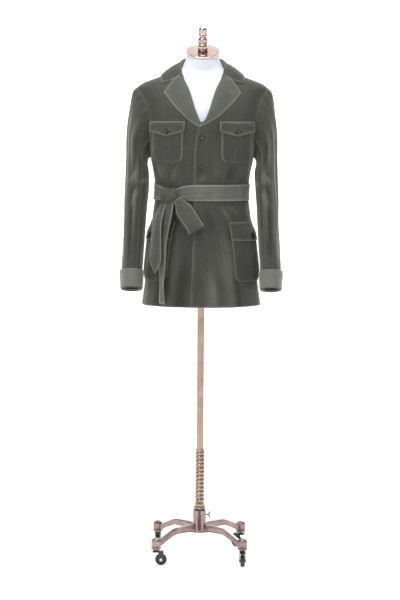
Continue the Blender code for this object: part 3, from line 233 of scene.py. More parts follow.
SLEEVE = table(
    "along outer_x outer_z inner_x inner_z front back lift",
    (0.00, 0.2125, 1.5490, 0.1690, 1.3245, 0.058, 0.072, 0.000),
    (0.05, 0.2260, 1.5330, 0.1755, 1.3190, 0.062, 0.072, 0.000),
    (0.12, 0.2335, 1.4930, 0.1785, 1.3100, 0.066, 0.071, 0.000),
    (0.22, 0.2385, 1.4300, 0.1790, 1.2950, 0.069, 0.069, 0.000),
    (0.34, 0.2415, 1.3500, 0.1770, 1.2720, 0.071, 0.066, 0.000),
    (0.46, 0.2440, 1.2700, 0.1765, 1.2340, 0.073, 0.059, 0.004),
    (0.58, 0.2470, 1.1900, 0.1800, 1.1740, 0.082, 0.044, 0.010),
    (0.71, 0.2500, 1.1000, 0.1840, 1.0950, 0.100, 0.020, 0.016),
    (0.81, 0.2535, 1.0300, 0.1880, 1.0290, 0.118, -0.004, 0.016),
    (0.905, 0.2565, 0.9650, 0.1920, 0.9650, 0.138, -0.028, 0.013),
    (1.00, 0.2575, 0.8990, 0.1930, 0.8990, 0.158, -0.052, 0.011),
)

# Creases of a sleeve: turn and share of its length at both ends, spread and depth
SLEEVE_CREASES = table(
    "turn_top top turn_foot foot spread depth",
    (46, 0.04, 54, 0.95, 0.008, 0.0049),
    (14, 0.08, 18, 0.94, 0.008, 0.0041),
    (98, 0.16, 92, 0.90, 0.008, 0.0043),
    (72, 0.06, 70, 0.46, 0.008, 0.0046),
    (84, 0.14, 92, 0.44, 0.010, -0.0032),
    (38, 0.44, 52, 0.92, 0.009, 0.0046),
    (76, 0.52, 84, 0.94, 0.010, -0.0038),
    (20, 0.10, 14, 0.40, 0.011, 0.0030),
    (104, 0.40, 60, 0.52, 0.009, 0.0041),
    (108, 0.47, 66, 0.58, 0.008, -0.0035),
    (112, 0.52, 70, 0.66, 0.009, 0.0035),
    (150, 0.42, 110, 0.50, 0.009, 0.0035),
    (-40, 0.08, -52, 0.42, 0.011, 0.0035),
    (-70, 0.16, -78, 0.48, 0.011, -0.0032),
    (-56, 0.46, -40, 0.60, 0.010, 0.0041),
    (-84, 0.50, -50, 0.66, 0.010, -0.0035),
    (-30, 0.62, -24, 0.92, 0.010, 0.0035),
    (170, 0.14, 178, 0.50, 0.010, 0.0030),
    (206, 0.20, 198, 0.70, 0.011, 0.0032),
    (4, 0.56, 8, 0.90, 0.012, -0.0030),
)

COLLAR = table(
    "along foot_x foot_y foot_z fold_x fold_y fold_z edge_x edge_y edge_z",
    (0.00, 0.0000, 0.0775, 1.6140, 0.0000, 0.0800, 1.6480, 0.0000, 0.0960, 1.5940),
    (0.30, 0.0470, 0.0610, 1.6140, 0.0490, 0.0630, 1.6460, 0.0780, 0.0720, 1.5930),
    (0.60, 0.0745, 0.0040, 1.6138, 0.0710, 0.0030, 1.6350, 0.1290, 0.0030, 1.5930),
    (0.82, 0.0765, -0.0280, 1.6020, 0.0730, -0.0290, 1.6180, 0.1360, -0.0300, 1.5845),
    (1.00, 0.0590, -0.0625, 1.5800, 0.0690, -0.0575, 1.5940, 0.1310, -0.0590, 1.5640),
)
COLLAR_FOLD = 0.0042
COLLAR_NOTCH = 0.0095

LONG_TAIL = table(
    "height across forward turn half",
    (0.858, -0.128, 0.152, -72, 0.0245),
    (0.930, -0.129, 0.147, -70, 0.0250),
    (1.020, -0.127, 0.143, -63, 0.0250),
    (1.100, -0.121, 0.140, -50, 0.0240),
    (1.152, -0.109, 0.128, -40, 0.0180),
    (1.1832, -0.0985, 0.1115, -31, 0.0110),
)
SHORT_TAIL = table(
    "height across forward turn half",
    (0.956, -0.150, 0.150, -42, 0.0025),
    (1.000, -0.149, 0.146, -42, 0.0240),
    (1.060, -0.148, 0.138, -46, 0.0250),
    (1.120, -0.144, 0.130, -56, 0.0235),
    (1.155, -0.132, 0.114, -52, 0.0165),
    (1.1832, -0.1190, 0.0990, -31, 0.0095),
)

FORM_EASE = table(
    "height side front back",
    (0.918, 0.030, 0.040, 0.034),
    (0.960, 0.014, 0.024, 0.018),
    (1.212, 0.010, 0.012, 0.010),
    (1.400, 0.022, 0.008, 0.008),
    (1.500, 0.024, 0.007, 0.007),
    (1.545, 0.014, 0.006, 0.006),
    (1.562, 0.0050, 0.007, 0.006),
    (1.598, 0.0050, 0.007, 0.008),
    (1.620, 0.012, 0.004, 0.016),
)

FINIAL = table(
    "height radius",
    (0.000, 0.0105),
    (0.004, 0.0160),
    (0.010, 0.0172),
    (0.017, 0.0160),
    (0.021, 0.0135),
    (0.025, 0.0160),
    (0.032, 0.0172),
    (0.039, 0.0155),
    (0.043, 0.0120),
    (0.047, 0.0125),
    (0.049, 0.0170),
    (0.052, 0.0172),
    (0.054, 0.0130),
)

LEG = table(
    "reach height half_depth",
    (0.022, 0.094, 0.0130),
    (0.060, 0.099, 0.0115),
    (0.105, 0.099, 0.0105),
    (0.145, 0.087, 0.0100),
    (0.1827, 0.070, 0.0100),
)

CASTORS = (
    ("front_left", 1, -1, -90, True),
    ("front_right", -1, -1, 0, False),
    ("rear_left", 1, 1, 150, False),
    ("rear_right", -1, 1, 90, True),
)


# Curves and blends


def hermite(keys, values, at):
    """A smooth curve through values, which never overshoots between them."""
    step = np.diff(keys)
    slope = np.diff(values) / step
    tangent = np.concatenate((slope[:1], np.zeros(len(slope) - 1), slope[-1:]))
    product = slope[:-1] * slope[1:]
    total = np.where(product > 0, slope[:-1] + slope[1:], 1.0)
    tangent[1:-1] = np.where(product > 0, 2 * product / total, 0.0)
    at = np.clip(at, keys[0], keys[-1])
    i = np.clip(np.searchsorted(keys, at) - 1, 0, len(step) - 1)
    t = (at - keys[i]) / step[i]
    rise = values[i] + (values[i + 1] - values[i]) * t * t * (3 - 2 * t)
    lean = t * (1 - t) * ((1 - t) * tangent[i] - t * tangent[i + 1])
    return rise + lean * step[i]


def read(sections, column, at, key="height"):
    return hermite(sections[key], sections[column], np.asarray(at, dtype=float))


def ease(t):
    t = np.clip(t, 0.0, 1.0)
    return t * t * (3 - 2 * t)


def blend(a, b, t):
    return a + (b - a) * t


def unit(vectors):
    return vectors / np.linalg.norm(vectors, axis=-1, keepdims=True)


def signed_power(value, power):
    return np.sign(value) * np.abs(value) ** power


# The torso's surface


def ring(angle, height):
    squareness = read(BODY, "squareness", height)
    across = signed_power(np.cos(angle), 2 / squareness)
    forward = signed_power(np.sin(angle), 2 / squareness)
    depth = np.where(forward > 0, read(BODY, "front", height), read(BODY, "back", height))
    x = across * read(BODY, "half_width", height)
    return np.stack((x, -forward * depth, height + 0 * x), axis=-1)


def ring_normal(angle, height, step=0.002):
    round_it = ring(angle + step, height) - ring(angle - step, height)
    up_it = ring(angle, height + step) - ring(angle, height - step)
    return unit(np.cross(up_it, round_it))


def ridges(rows, angle, height):
    """How far a table of folds or creases stands out at a place on the body."""
    total = np.zeros(np.broadcast(angle, height).shape)
    radius = 0.5 * (read(BODY, "half_width", height) + read(BODY, "front", height))
    for i in range(len(rows["top"])):
        top, foot = rows["top"][i], rows["foot"][i]
        down = (top - height) / (top - foot)
        line = np.radians(blend(rows["angle_top"][i], rows["angle_foot"][i], np.clip(down, 0, 1)))
        apart = (np.mod(angle - line + math.pi, 2 * math.pi) - math.pi) * radius
        fade_out = ease(2 * (1 - down)) if foot > HEM else 1.0
        along = ease(1.5 * down) * fade_out
        total = total + rows["depth"][i] * along * np.exp(-((apart / rows["spread"][i]) ** 2))
    return total


def body_point(angle, height, out):
    angle, height, out = np.broadcast_arrays(angle, height, out)
    lift = np.asarray(out + ridges(FOLDS, angle, height) + ridges(CREASES, angle, height))
    return ring(angle, height) + ring_normal(angle, height) * lift[..., None]


def angle_across(across, height):
    ratio = np.clip(across / read(BODY, "half_width", height), -1, 1)
    return np.arccos(signed_power(ratio, read(BODY, "squareness", height) / 2))


def on_side(angle, side):
    return angle if side > 0 else math.pi - angle


def lap_out(across, side):
    """The left front lies over the right one near the middle."""
    if side < 0:
        return 0 * np.asarray(across)
    return LAP_OUT * (1 - ease((across - 0.030) / 0.040))


def front_point(side, across, height, out):
    angle = on_side(angle_across(across, height), side)
    return body_point(angle, height, out + lap_out(across, side))


def front_normal(side, across, height):
    return ring_normal(on_side(angle_across(across, height), side), height)


def quarter(height):
    wide, deep = read(BODY, "half_width", height), read(BODY, "front", height)
    return 0.5 * math.pi * np.sqrt(0.5 * (wide**2 + deep**2))


def lay_flat(angle, height):
    return np.stack(((0.5 * math.pi - angle) / (0.5 * math.pi) * quarter(height), height + 0 * angle), -1)


def lay_round(flat):
    return 0.5 * math.pi * (1 - flat[..., 0] / quarter(flat[..., 1])), flat[..., 1]


def patch(bottom, top, left, right):
    u = np.linspace(0, 1, len(bottom))[None, :, None]
    v = np.linspace(0, 1, len(left))[:, None, None]
    ruled = (1 - v) * bottom[None] + v * top[None] + (1 - u) * left[:, None] + u * right[:, None]
    corners = (1 - v) * ((1 - u) * bottom[0] + u * bottom[-1]) + v * ((1 - u) * top[0] + u * top[-1])
    return ruled - corners


# Materials


class Flow:
    """A socket of a material, so that sums on it are written as sums."""

    def __init__(self, tree, socket):
        self.tree = tree
        self.socket = socket

    def math(self, operation, a, b=None):
        made = self.tree.nodes.new("ShaderNodeMath")
        made.operation = operation
        for slot, value in zip(made.inputs, (a, b)):
            if isinstance(value, Flow):
                self.tree.links.new(value.socket, slot)
            elif value is not None:
                slot.default_value = value
        return Flow(self.tree, made.outputs[0])

    def __add__(self, other):
        return self.math("ADD", self, other)

    def __radd__(self, other):
        return self.math("ADD", other, self)

    def __sub__(self, other):
        return self.math("SUBTRACT", self, other)

    def __rsub__(self, other):
        return self.math("SUBTRACT", other, self)

    def __mul__(self, other):
        return self.math("MULTIPLY", self, other)

    def __rmul__(self, other):
        return self.math("MULTIPLY", other, self)

    def __truediv__(self, other):
        return self.math("DIVIDE", self, other)

    def __pow__(self, other):
        return self.math("POWER", self, other)

    def sine(self):
        return self.math("SINE", self)

    def held(self):
        """Kept between 0 and 1."""
        return self.math("MINIMUM", self.math("MAXIMUM", self, 0.0), 1.0)


class Finish:
    """One material: a Principled shader, and nodes that feed it."""

    def __init__(self, name, **constants):
        self.material = bpy.data.materials.new(name)
        self.material.use_nodes = True
        self.tree = self.material.node_tree
        self.shader = self.tree.nodes["Principled BSDF"]
        for word, value in constants.items():
            self.shader.inputs[word.replace("_", " ").title().replace("Ior", "IOR")].default_value = value

    def node(self, kind, settings=None, output=0, **values):
        made = self.tree.nodes.new(kind)
        for word, value in (settings or {}).items():
            if word == "stops":
                ramp = made.color_ramp.elements
                while len(ramp) < len(value):
                    ramp.new(0.5)
                for stop, (place, colour) in zip(ramp, value):
                    stop.position = place
                    stop.color = (*colour, 1.0)
            else:
                setattr(made, word, value)
        for word, value in values.items():
            slot = made.inputs[int(word[1:])] if word[0] == "n" and word[1:].isdigit() else made.inputs[word]
            if isinstance(value, Flow):
                self.tree.links.new(value.socket, slot)
            else:
                slot.default_value = value
        return Flow(self.tree, made.outputs[output])

    def feed(self, word, value):
        self.tree.links.new(value.socket, self.shader.inputs[word])

    def mix(self, factor, a, b):
        settings = {"data_type": "RGBA"}
        return self.node("ShaderNodeMix", settings, 2, n0=factor, n6=(*a, 1.0), n7=(*b, 1.0))

    def noise(self, vector, scale, detail=2.0, rough=0.5):
        return self.node("ShaderNodeTexNoise", Vector=vector, Scale=scale, Detail=detail, Roughness=rough)

    def cut(self):
        """Across and along the cut cloth, in metres."""
        uv = self.node("ShaderNodeUVMap", {"uv_map": "cut"})
        across = self.node("ShaderNodeSeparateXYZ", output=0, n0=uv)
        along = self.node("ShaderNodeSeparateXYZ", output=1, n0=uv)
        return across, along

    def vector(self, x, y, z=0.0):
        return self.node("ShaderNodeCombineXYZ", X=x, Y=y, Z=z)

    def object_place(self):
        return self.node("ShaderNodeTexCoord", output=3)

    def bump(self, height, strength, distance):
        made = self.node("ShaderNodeBump", Strength=strength, Distance=distance, Height=height)
        self.feed("Normal", made)


def corduroy(name, dark, mid, light, hatch=0.0, pitch=0.0017):
    """Needlecord: fine wales along the cut, nap that lies in streaks, rubbed edges with a painted highlight,
    painted highlight on fold crests and painted shade in their hollows, and a soft sheen.
    """
    finish = Finish(
        name,
        sheen_weight=0.55,
        sheen_roughness=0.35,
        sheen_tint=(0.62, 0.64, 0.56, 1.0),
        specular_ior_level=0.15,
    )
    across, along = finish.cut()
    streak = finish.noise(finish.vector(across * 130.0, along * 5.0), 1.0, 3.0, 0.6)
    band = finish.noise(finish.vector(across * 30.0, along * 2.0, 5.3), 1.0, 2.0, 0.5)
    cloud = finish.noise(finish.vector(across * 12.0, along * 9.0, 3.7), 1.0, 3.0, 0.6)
    fleck = finish.noise(finish.vector(across * 900.0, along * 320.0), 1.0, 1.0, 0.5)
    wander = finish.noise(finish.vector(across * 40.0, along * 30.0, 9.1), 1.0, 1.0, 0.5)
    # The wale wave also darkens the grooves between the wales in the colour: painted shade.
    wale = ((across + wander * 0.0006) * (2 * math.pi / pitch)).sine() * 0.5 + 0.5
    slant = ((across * 0.8 + along + wander * 0.0020) * (2 * math.pi / 0.0056)).sine()
    # Per point: rubbed edges with a painted highlight, painted highlight on fold crests and painted shade in
    # fold hollows, all lightening or darkening the colour.
    rub_and_painted_light = finish.node("ShaderNodeAttribute", {"attribute_name": "worn"}, 2)
    nap = (streak - 0.5) * 0.22 + (band - 0.5) * 0.12 + (cloud - 0.5) * 0.30 + (fleck - 0.5) * 0.60
    shade = nap + wale * 0.20 + 0.38 + slant * hatch + rub_and_painted_light * (0.28 + streak * 0.30)
    ramp = {"stops": ((0.05, dark), (0.48, mid), (1.0, light))}
    finish.feed("Base Color", finish.node("ShaderNodeValToRGB", ramp, Fac=shade.held()))
    finish.feed("Roughness", 0.95 - streak * 0.14)
    finish.bump(wale * 0.8 + fleck * 0.3, 0.5, 0.0005)
    return finish.material


def thread(name, colour):
    finish = Finish(name, sheen_weight=0.1, specular_ior_level=0.3)
    place = finish.object_place()
    ply = finish.noise(place, 2600.0, 1.0)
    shade = tuple(c * 0.7 for c in colour)
    light = tuple(c * 1.25 for c in colour)
    finish.feed("Base Color", finish.mix(ply, shade, light))
    finish.feed("Roughness", 0.55 + ply * 0.2)
    return finish.material


def horn(name):
    finish = Finish(name, specular_ior_level=0.25, coat_weight=0.3, coat_roughness=0.06)
    place = finish.object_place()
    cloud = finish.noise(place, 260.0, 3.0, 0.6)
    grain = finish.noise(place, 1400.0, 2.0)
    ramp = ((0.25, (0.006, 0.006, 0.006)), (0.55, (0.014, 0.012, 0.011)), (0.85, (0.050, 0.040, 0.032)))
    finish.feed("Base Color", finish.node("ShaderNodeValToRGB", {"stops": ramp}, Fac=cloud))
    finish.feed("Roughness", 0.22 + grain * 0.18)
    finish.bump(grain, 0.12, 0.0002)
    return finish.material


def plated(name, dark, light, rough, brushed=0.0):
    """Plated metal, with a little tarnish in clouds and a faint grain."""
    finish = Finish(name, metallic=1.0)
    place = finish.object_place()
    cloud = finish.noise(place, 22.0, 3.0, 0.6)
    grain = finish.noise(place, 650.0, 2.0, 0.6)
    finish.feed("Base Color", finish.mix((cloud * 1.6 - 0.3).held(), dark, light))
    finish.feed("Roughness", rough + cloud * 0.10 + grain * (0.05 + brushed))
    finish.bump(grain, 0.06 + brushed, 0.0002)
    return finish.material


def moulded(name, colour, rough):
    """Black moulded plastic with a fine grain and scuffs."""
    finish = Finish(name, specular_ior_level=0.5)
    place = finish.object_place()
    grain = finish.noise(place, 1500.0, 2.0)
    scuff = finish.noise(place, 90.0, 4.0, 0.7)
    scuffed = tuple(c * 2.2 + 0.01 for c in colour)
    finish.feed("Base Color", finish.mix(((scuff - 0.52) * 4.0).held(), colour, scuffed))
    finish.feed("Roughness", rough + scuff * 0.18)
    finish.bump(grain, 0.15, 0.0002)
    return finish.material


def form_cover(name):
    """A taut white jersey over the form, with its fine knit."""
    finish = Finish(name, sheen_weight=0.15, specular_ior_level=0.3)
    place = finish.object_place()
    cloud = finish.noise(place, 14.0, 2.0)
    knit = finish.noise(place, 1300.0, 1.0)
    finish.feed("Base Color", finish.mix(cloud, (0.48, 0.49, 0.54), (0.55, 0.56, 0.61)))
    finish.feed("Roughness", 0.62 + knit * 0.12)
    finish.bump(knit, 0.10, 0.0003)
    return finish.material


CLOTH = corduroy("olive_cord", (0.015, 0.0158, 0.0130), (0.038, 0.0393, 0.0333), (0.120, 0.124, 0.107))
# A lighter copy of the same cord for the belt band: painted sheen.
CLOTH_PAINTED_SHEEN = corduroy(
    "olive_cord_painted_sheen", (0.038, 0.040, 0.034), (0.088, 0.091, 0.080), (0.185, 0.190, 0.170)
)
# A copy of the same cord, lighter than the body's, for the knot, the loop and the tails: painted sheen.
CLOTH_TAIL = corduroy(
    "olive_cord_tail", (0.020, 0.021, 0.0175), (0.050, 0.0517, 0.044), (0.150, 0.155, 0.136)
)
# A lighter copy of the same cord for the cuffs: painted sheen.
CLOTH_CUFF = corduroy("olive_cord_cuff", (0.055, 0.057, 0.050), (0.118, 0.121, 0.108), (0.235, 0.240, 0.218))
# A lighter copy of the same cord for the lapels, with a diagonal hatch: painted sheen.
CLOTH_LAPEL = corduroy(
    "olive_cord_lapel", (0.026, 0.0277, 0.0234), (0.063, 0.0652, 0.057), (0.155, 0.159, 0.142), 0.15
)
THREAD = thread("olive_thread", (0.180, 0.180, 0.130))
HORN = horn("dark_horn")
COVER = form_cover("white_cover")
COPPER = plated("rose_copper", (0.36, 0.260, 0.230), (0.55, 0.430, 0.388), 0.07)
POLE_COPPER = plated("pole_copper", (0.255, 0.178, 0.140), (0.41, 0.302, 0.238), 0.18, 0.05)
BRONZE = plated("satin_bronze", (0.175, 0.130, 0.122), (0.34, 0.262, 0.246), 0.19, 0.03)
STEEL = plated("dark_steel", (0.10, 0.10, 0.12), (0.24, 0.23, 0.25), 0.30)
RIVET = plated("bright_rivet", (0.42, 0.42, 0.44), (0.62, 0.62, 0.64), 0.22)
BLACK = moulded("black_castor", (0.012, 0.012, 0.013), 0.38)


# Cloth shells

# Reach of the rubbed, lightened edges: rub and a painted highlight.
EDGE_RUB_AND_HIGHLIGHT_REACH = 0.0035


def fit_in(made, body, node, finish):
    """Put a piece on its body, in place of its solid."""
    made.data.materials.clear()
    made.data.materials.append(finish)
    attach(made, body)
    if node:
        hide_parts(node)
    return made


def mesh_piece(name, points, faces, cuts=None, worn=None):
    """A mesh of four-cornered faces, with each corner's place on the cut cloth, and its wear with painted
    light.
    """
    mesh = bpy.data.meshes.new(name)
    faces = np.asarray(faces)
    mesh.vertices.add(len(points))
    mesh.vertices.foreach_set("co", np.asarray(points, dtype=np.float32).ravel())
    count, corners = faces.shape
    mesh.loops.add(count * corners)
    mesh.loops.foreach_set("vertex_index", faces.astype(np.int32).ravel())
    mesh.polygons.add(count)
    mesh.polygons.foreach_set("loop_start", np.arange(count, dtype=np.int32) * corners)
    mesh.update(calc_edges=True)
    if cuts is not None:
        layer = mesh.uv_layers.new(name="cut")
        layer.data.foreach_set("uv", np.asarray(cuts, dtype=np.float32).ravel())
    if worn is not None:
        mesh.attributes.new("worn", "FLOAT", "POINT").data.foreach_set("value", worn.astype(np.float32))
    mesh.validate()
    mesh.shade_smooth()
    made = bpy.data.objects.new(name, mesh)
    bpy.context.scene.collection.objects.link(made)
    return made


def edge_rub_and_highlight(cut, closed):
    """How near each point of a grid is to the cloth's edge, where the nap is rubbed and lightened with a
    painted highlight: 1 on the edge itself.
    """
    x, y = cut[..., 0], cut[..., 1]
    near = np.minimum(y - y[:1], y[-1:] - y)
    if not closed:
        near = np.minimum(near, np.minimum(x - x[:, :1], x[:, -1:] - x))
    return np.exp(-((near / EDGE_RUB_AND_HIGHLIGHT_REACH) ** 2))


def signed_volume(points, faces):
    a, b, c, d = (points[faces[:, k]] for k in range(4))
    return np.sum(a * np.cross(b, c)) + np.sum(a * np.cross(c, d))


def cut_of(points):
    """Lengths across and along a grid of points, as the flat cloth has them."""
    across = np.linalg.norm(np.diff(points, axis=1), axis=-1)
    along = np.linalg.norm(np.diff(points, axis=0), axis=-1)
    x = np.concatenate((np.zeros((len(points), 1)), np.cumsum(across, axis=1)), axis=1)
    x = x - x[:, -1:] / 2
    y = np.concatenate((np.zeros((1, points.shape[1])), np.cumsum(along, axis=0)), axis=0)
    y = np.broadcast_to(y.mean(axis=1, keepdims=True), y.shape)
    return np.stack((x, y), -1)


def shell(name, inside, outside, closed=False, painted_fold_light=0.0, rub_and_painted_light=1.0):
    """A cloth wall with round edges: an outside, an inside and a soft rim. The edges' nap is rubbed and
    lightened with a painted highlight, and the fold values paint a highlight on crests and shade in hollows.
    """
    rows, columns = inside.shape[:2]
    wide = columns + 1 if closed else columns
    count = rows * columns
    loop = outside if not closed else np.concatenate((outside, outside[:, :1]), axis=1)
    cut = cut_of(loop)
    r, c = np.meshgrid(np.arange(rows - 1), np.arange(wide - 1), indexing="ij")
    corners = [(r, c), (r, c + 1), (r + 1, c + 1), (r + 1, c)]
    verts = np.stack([i * columns + j % columns for i, j in corners], -1).reshape(-1, 4)
    cuts = np.stack([cut[i, j] for i, j in corners], -2).reshape(-1, 4, 2)
    points = [outside.reshape(-1, 3), inside.reshape(-1, 3)]
    # Edges: rubbed nap with a painted highlight; folds: painted highlight on crests and painted shade in
    # hollows.
    point_rub_and_painted_light = (rub_and_painted_light * edge_rub_and_highlight(cut, closed)[:, :columns] + painted_fold_light).ravel()
    worn = [point_rub_and_painted_light, 0 * point_rub_and_painted_light]
    faces = [verts, verts[:, ::-1] + count]
    places = [cuts, cuts[:, ::-1]]
    j = np.arange(wide)
    i = np.arange(rows)
    edges = [(0 * j, j, 1), (0 * j + rows - 1, j, -1)]
    if not closed:
        edges += [(i, 0 * i, -1), (i, 0 * i + columns - 1, 1)]
    start = 2 * count
    for er, ec, turn in edges:
        here = er * columns + ec % columns
        middle = 0.5 * (outside.reshape(-1, 3)[here] + inside.reshape(-1, 3)[here])
        nearby = er
        if len(set(er.tolist())) == 1:
            nearby = np.clip(er + (er == 0) * 1 - (er == rows - 1) * 1, 0, rows - 1)
        beside = ec if nearby is not er else np.clip(ec + (1 if ec[0] == 0 else -1), 0, columns - 1)
        towards = nearby * columns + beside % columns
        inner_middle = 0.5 * (outside.reshape(-1, 3)[towards] + inside.reshape(-1, 3)[towards])
        bulge = middle + unit(middle - inner_middle + 1e-12) * 0.4 * WALL
        length = len(here)
        if closed:
            bulge = bulge[:-1]
        mids = start + (np.arange(length) % len(bulge))
        start += len(bulge)
        points.append(bulge)
        # The rim gets the full rub and painted edge highlight.
        worn.append(np.full(len(bulge), rub_and_painted_light))
        place = cut[er, ec]
        for a, b in ((here, mids), (mids, here + count)):
            quad = np.stack((a[:-1], a[1:], b[1:], b[:-1]), -1)
            where = np.stack((place[:-1], place[1:], place[1:], place[:-1]), -2)
            faces.append(quad[:, ::-1] if turn > 0 else quad)
            places.append(where[:, ::-1] if turn > 0 else where)
    points = np.concatenate(points)
    faces = np.concatenate(faces)
    places = np.concatenate(places)
    if signed_volume(points, faces) < 0:
        faces = faces[:, ::-1]
        places = places[:, ::-1]
    made = mesh_piece(name, points, faces, places, np.concatenate(worn))
    if not closed:
        weld_corners(made)
    return made


def weld_corners(made):
    """Close the four corners of a shell's rim."""
    take(made)
    bpy.ops.object.mode_set(mode="EDIT")
    bpy.ops.mesh.select_all(action="DESELECT")
    bpy.ops.mesh.select_mode(type="EDGE")
    bpy.ops.mesh.select_non_manifold()
    bpy.ops.mesh.fill_holes(sides=6)
    bpy.ops.mesh.select_all(action="DESELECT")
    bpy.ops.object.mode_set(mode="OBJECT")
    deselect()


def deselect():
    for chosen in bpy.context.selected_objects:
        chosen.select_set(False)


def grid_normals(points, closed=False):
    up_it = np.gradient(points, axis=0)
    if closed:
        along = np.roll(points, -1, axis=1) - np.roll(points, 1, axis=1)
    else:
        along = np.gradient(points, axis=1)
    return unit(np.cross(along, up_it))


def strip(name, points, thick=WALL):
    """A shell with its middle on a grid of points."""
    shift = 0.5 * thick * grid_normals(points)
    return shell(name, points - shift, points + shift)


def finer(points, rows):
    """More rows along a grid's first way, on smooth curves through its own."""
    keys = np.arange(len(points), dtype=float)
    at = np.linspace(0, len(points) - 1, rows)
    flat = points.reshape(len(points), -1)
    columns = [hermite(keys, flat[:, k], at) for k in range(flat.shape[1])]
    return np.stack(columns, -1).reshape(rows, *points.shape[1:])


# Fronts and back

FINE = 7
PANEL_STEPS = 21
UNDERARM_STEPS = 10
BREAK_STEPS = 12
NECK_STEPS = 2
FRONT_STEPS = 11
BACK_STEPS = 16
SHOULDER_SHARE = 0.30
FRONT_CURL = 0.0016


def armhole(turn):
    height = 0.5 * (SHOULDER + ARMHOLE_LOW) + 0.5 * (SHOULDER - ARMHOLE_LOW) * np.cos(turn)
    swing = np.sin(turn)
    reach = np.where(swing > 0, ARMHOLE_FRONT, ARMHOLE_BACK) * np.abs(swing)
    depth = np.where(swing > 0, read(BODY, "front", height), read(BODY, "back", height))
    power = 0.5 * read(BODY, "squareness", height)
    return np.sign(swing) * np.arcsin(np.clip(reach / depth, 0, 1) ** power), height


def side_edge(last_turn):
    low_angle, low_height = armhole(np.array(ARMHOLE_SEAM))
    climb = np.linspace(0, 1, UNDERARM_STEPS * FINE + 1)
    seam = np.stack((blend(SIDE_SEAM, low_angle, climb), blend(HEM, low_height, climb)), -1)
    turns = np.linspace(ARMHOLE_SEAM, last_turn, (PANEL_STEPS - UNDERARM_STEPS) * FINE + 1)[1:]
    return np.concatenate((seam, np.stack(armhole(turns), -1)))


def parted(edge, towards):
    moved = edge.copy()
    moved[:, 0] += towards * 0.0002 / quarter(edge[:, 1])
    return moved


def centre_edge(lap_share):
    low = np.linspace(HEM, BREAK, BREAK_STEPS * FINE + 1)
    straight = np.stack((angle_across(-lap_share * read(EDGE, "lap", low), low), low), -1)
    steps = (PANEL_STEPS - BREAK_STEPS - NECK_STEPS) * FINE
    rolled = np.linspace(BREAK, GORGE, steps + 1)[1:]
    roll = np.stack((angle_across(read(ROLL, "across", rolled), rolled), rolled), -1)
    share = np.linspace(0, 1, NECK_STEPS * FINE + 1)[1:, None]
    neck = blend(roll[-1], np.array((0.0, NECK)), share)
    return np.concatenate((straight, roll, neck))


def front_curl(across, height):
    """The free edge of the left front stands off a little below the lapel."""
    from_edge = across + read(EDGE, "lap", height)
    return FRONT_CURL * np.exp(-((from_edge / 0.007) ** 2)) * ease((BREAK - 0.012 - height) / 0.03)


def body_painted_fold_light(angle, height):
    """Painted highlight on the crests and painted shade in the hollows of the body's folds."""
    raised = ridges(FOLDS, angle, height) + 1.5 * ridges(CREASES, angle, height)
    return 0.55 * np.clip(raised / 0.006, -0.8, 1.0)


def front(name, side, lap_share):
    left = centre_edge(lap_share)
    right = parted(side_edge(0.0), 1)
    left[-1, 0] = right[-1, 0]
    columns = FRONT_STEPS * FINE + 1
    bottom = np.stack((np.linspace(left[0, 0], right[0, 0], columns), np.full(columns, HEM)), -1)
    top = np.stack((np.full(columns, right[-1, 0]), np.linspace(NECK, SHOULDER, columns)), -1)
    edges = [lay_flat(e[:, 0], e[:, 1]) for e in (bottom, top, left, right)]
    angle, height = lay_round(patch(*edges))
    out = lap_out(read(BODY, "half_width", height) * np.cos(angle), side)
    if side > 0:
        out = out + front_curl(read(BODY, "half_width", height) * np.cos(angle), height)
    angle = on_side(angle, side)
    inside, outside = body_point(angle, height, out), body_point(angle, height, out + WALL)
    # Painted highlight on fold crests, painted shade in hollows, and rubbed edges with a painted highlight.
    made = shell(name, inside, outside, painted_fold_light=body_painted_fold_light(angle, height), rub_and_painted_light=0.65)
    fit_in(made, "figure", name.replace("cloth_", ""), CLOTH)


def back():
    edge = parted(side_edge(2 * math.pi), -1)
    tip = edge[-1, 0]
    share = np.linspace(0, 1, BACK_STEPS * FINE + 1)
    climb = np.clip(np.minimum(share, 1 - share) / SHOULDER_SHARE, 0, 1)
    across = np.clip((share - SHOULDER_SHARE) / (1 - 2 * SHOULDER_SHARE), 0, 1)
    top = np.stack((blend(tip, -math.pi - tip, across), blend(SHOULDER, NECK, climb)), -1)
    bottom = np.stack((blend(edge[0, 0], -math.pi - edge[0, 0], share), np.full(len(share), HEM)), -1)
    far = edge.copy()
    far[:, 0] = -math.pi - edge[:, 0]
    edges = [lay_flat(e[:, 0] + math.pi, e[:, 1]) for e in (bottom, top, edge, far)]
    flat = patch(*edges)
    rise = np.linspace(0, 1, len(edge))
    level = (blend(HEM, SHOULDER, rise) - edge[:, 1]) * (1 - ease((rise - 0.60) / 0.28))
    flat[..., 1] += level[:, None] * (1 - np.abs(2 * share - 1) ** 3)
    angle, height = lay_round(flat)
    angle = angle - math.pi
    # Painted highlight on fold crests, painted shade in hollows, and rubbed edges with a painted highlight.
    painted_fold_light = body_painted_fold_light(angle, height)
    inside = body_point(angle, height, 0.0)
    outside = body_point(angle, height, WALL)
    made = shell("cloth_back", inside, outside, painted_fold_light=painted_fold_light, rub_and_painted_light=0.5)
    fit_in(made, "figure", "back", CLOTH)


# Sleeves and cuffs

SLEEVE_ROWS = 130
HEAD_SHARE = 0.25
SLEEVE_LENGTH = 0.66
CUFF_TOP = 0.918


def sleeve_ring(turn, along):
    columns = [read(SLEEVE, name, along, "along") for name in list(SLEEVE)[1:]]
    outer_x, outer_z, inner_x, inner_z, forward, behind, lift = columns
    swing, out = np.sin(turn), 0.5 * (1 + np.cos(turn))
    x = blend(inner_x, outer_x, out)
    y = 0.5 * (behind - forward) - 0.5 * (behind + forward) * swing
    z = blend(inner_z, outer_z, out) + lift * swing
    return np.stack((x, y, z), -1)


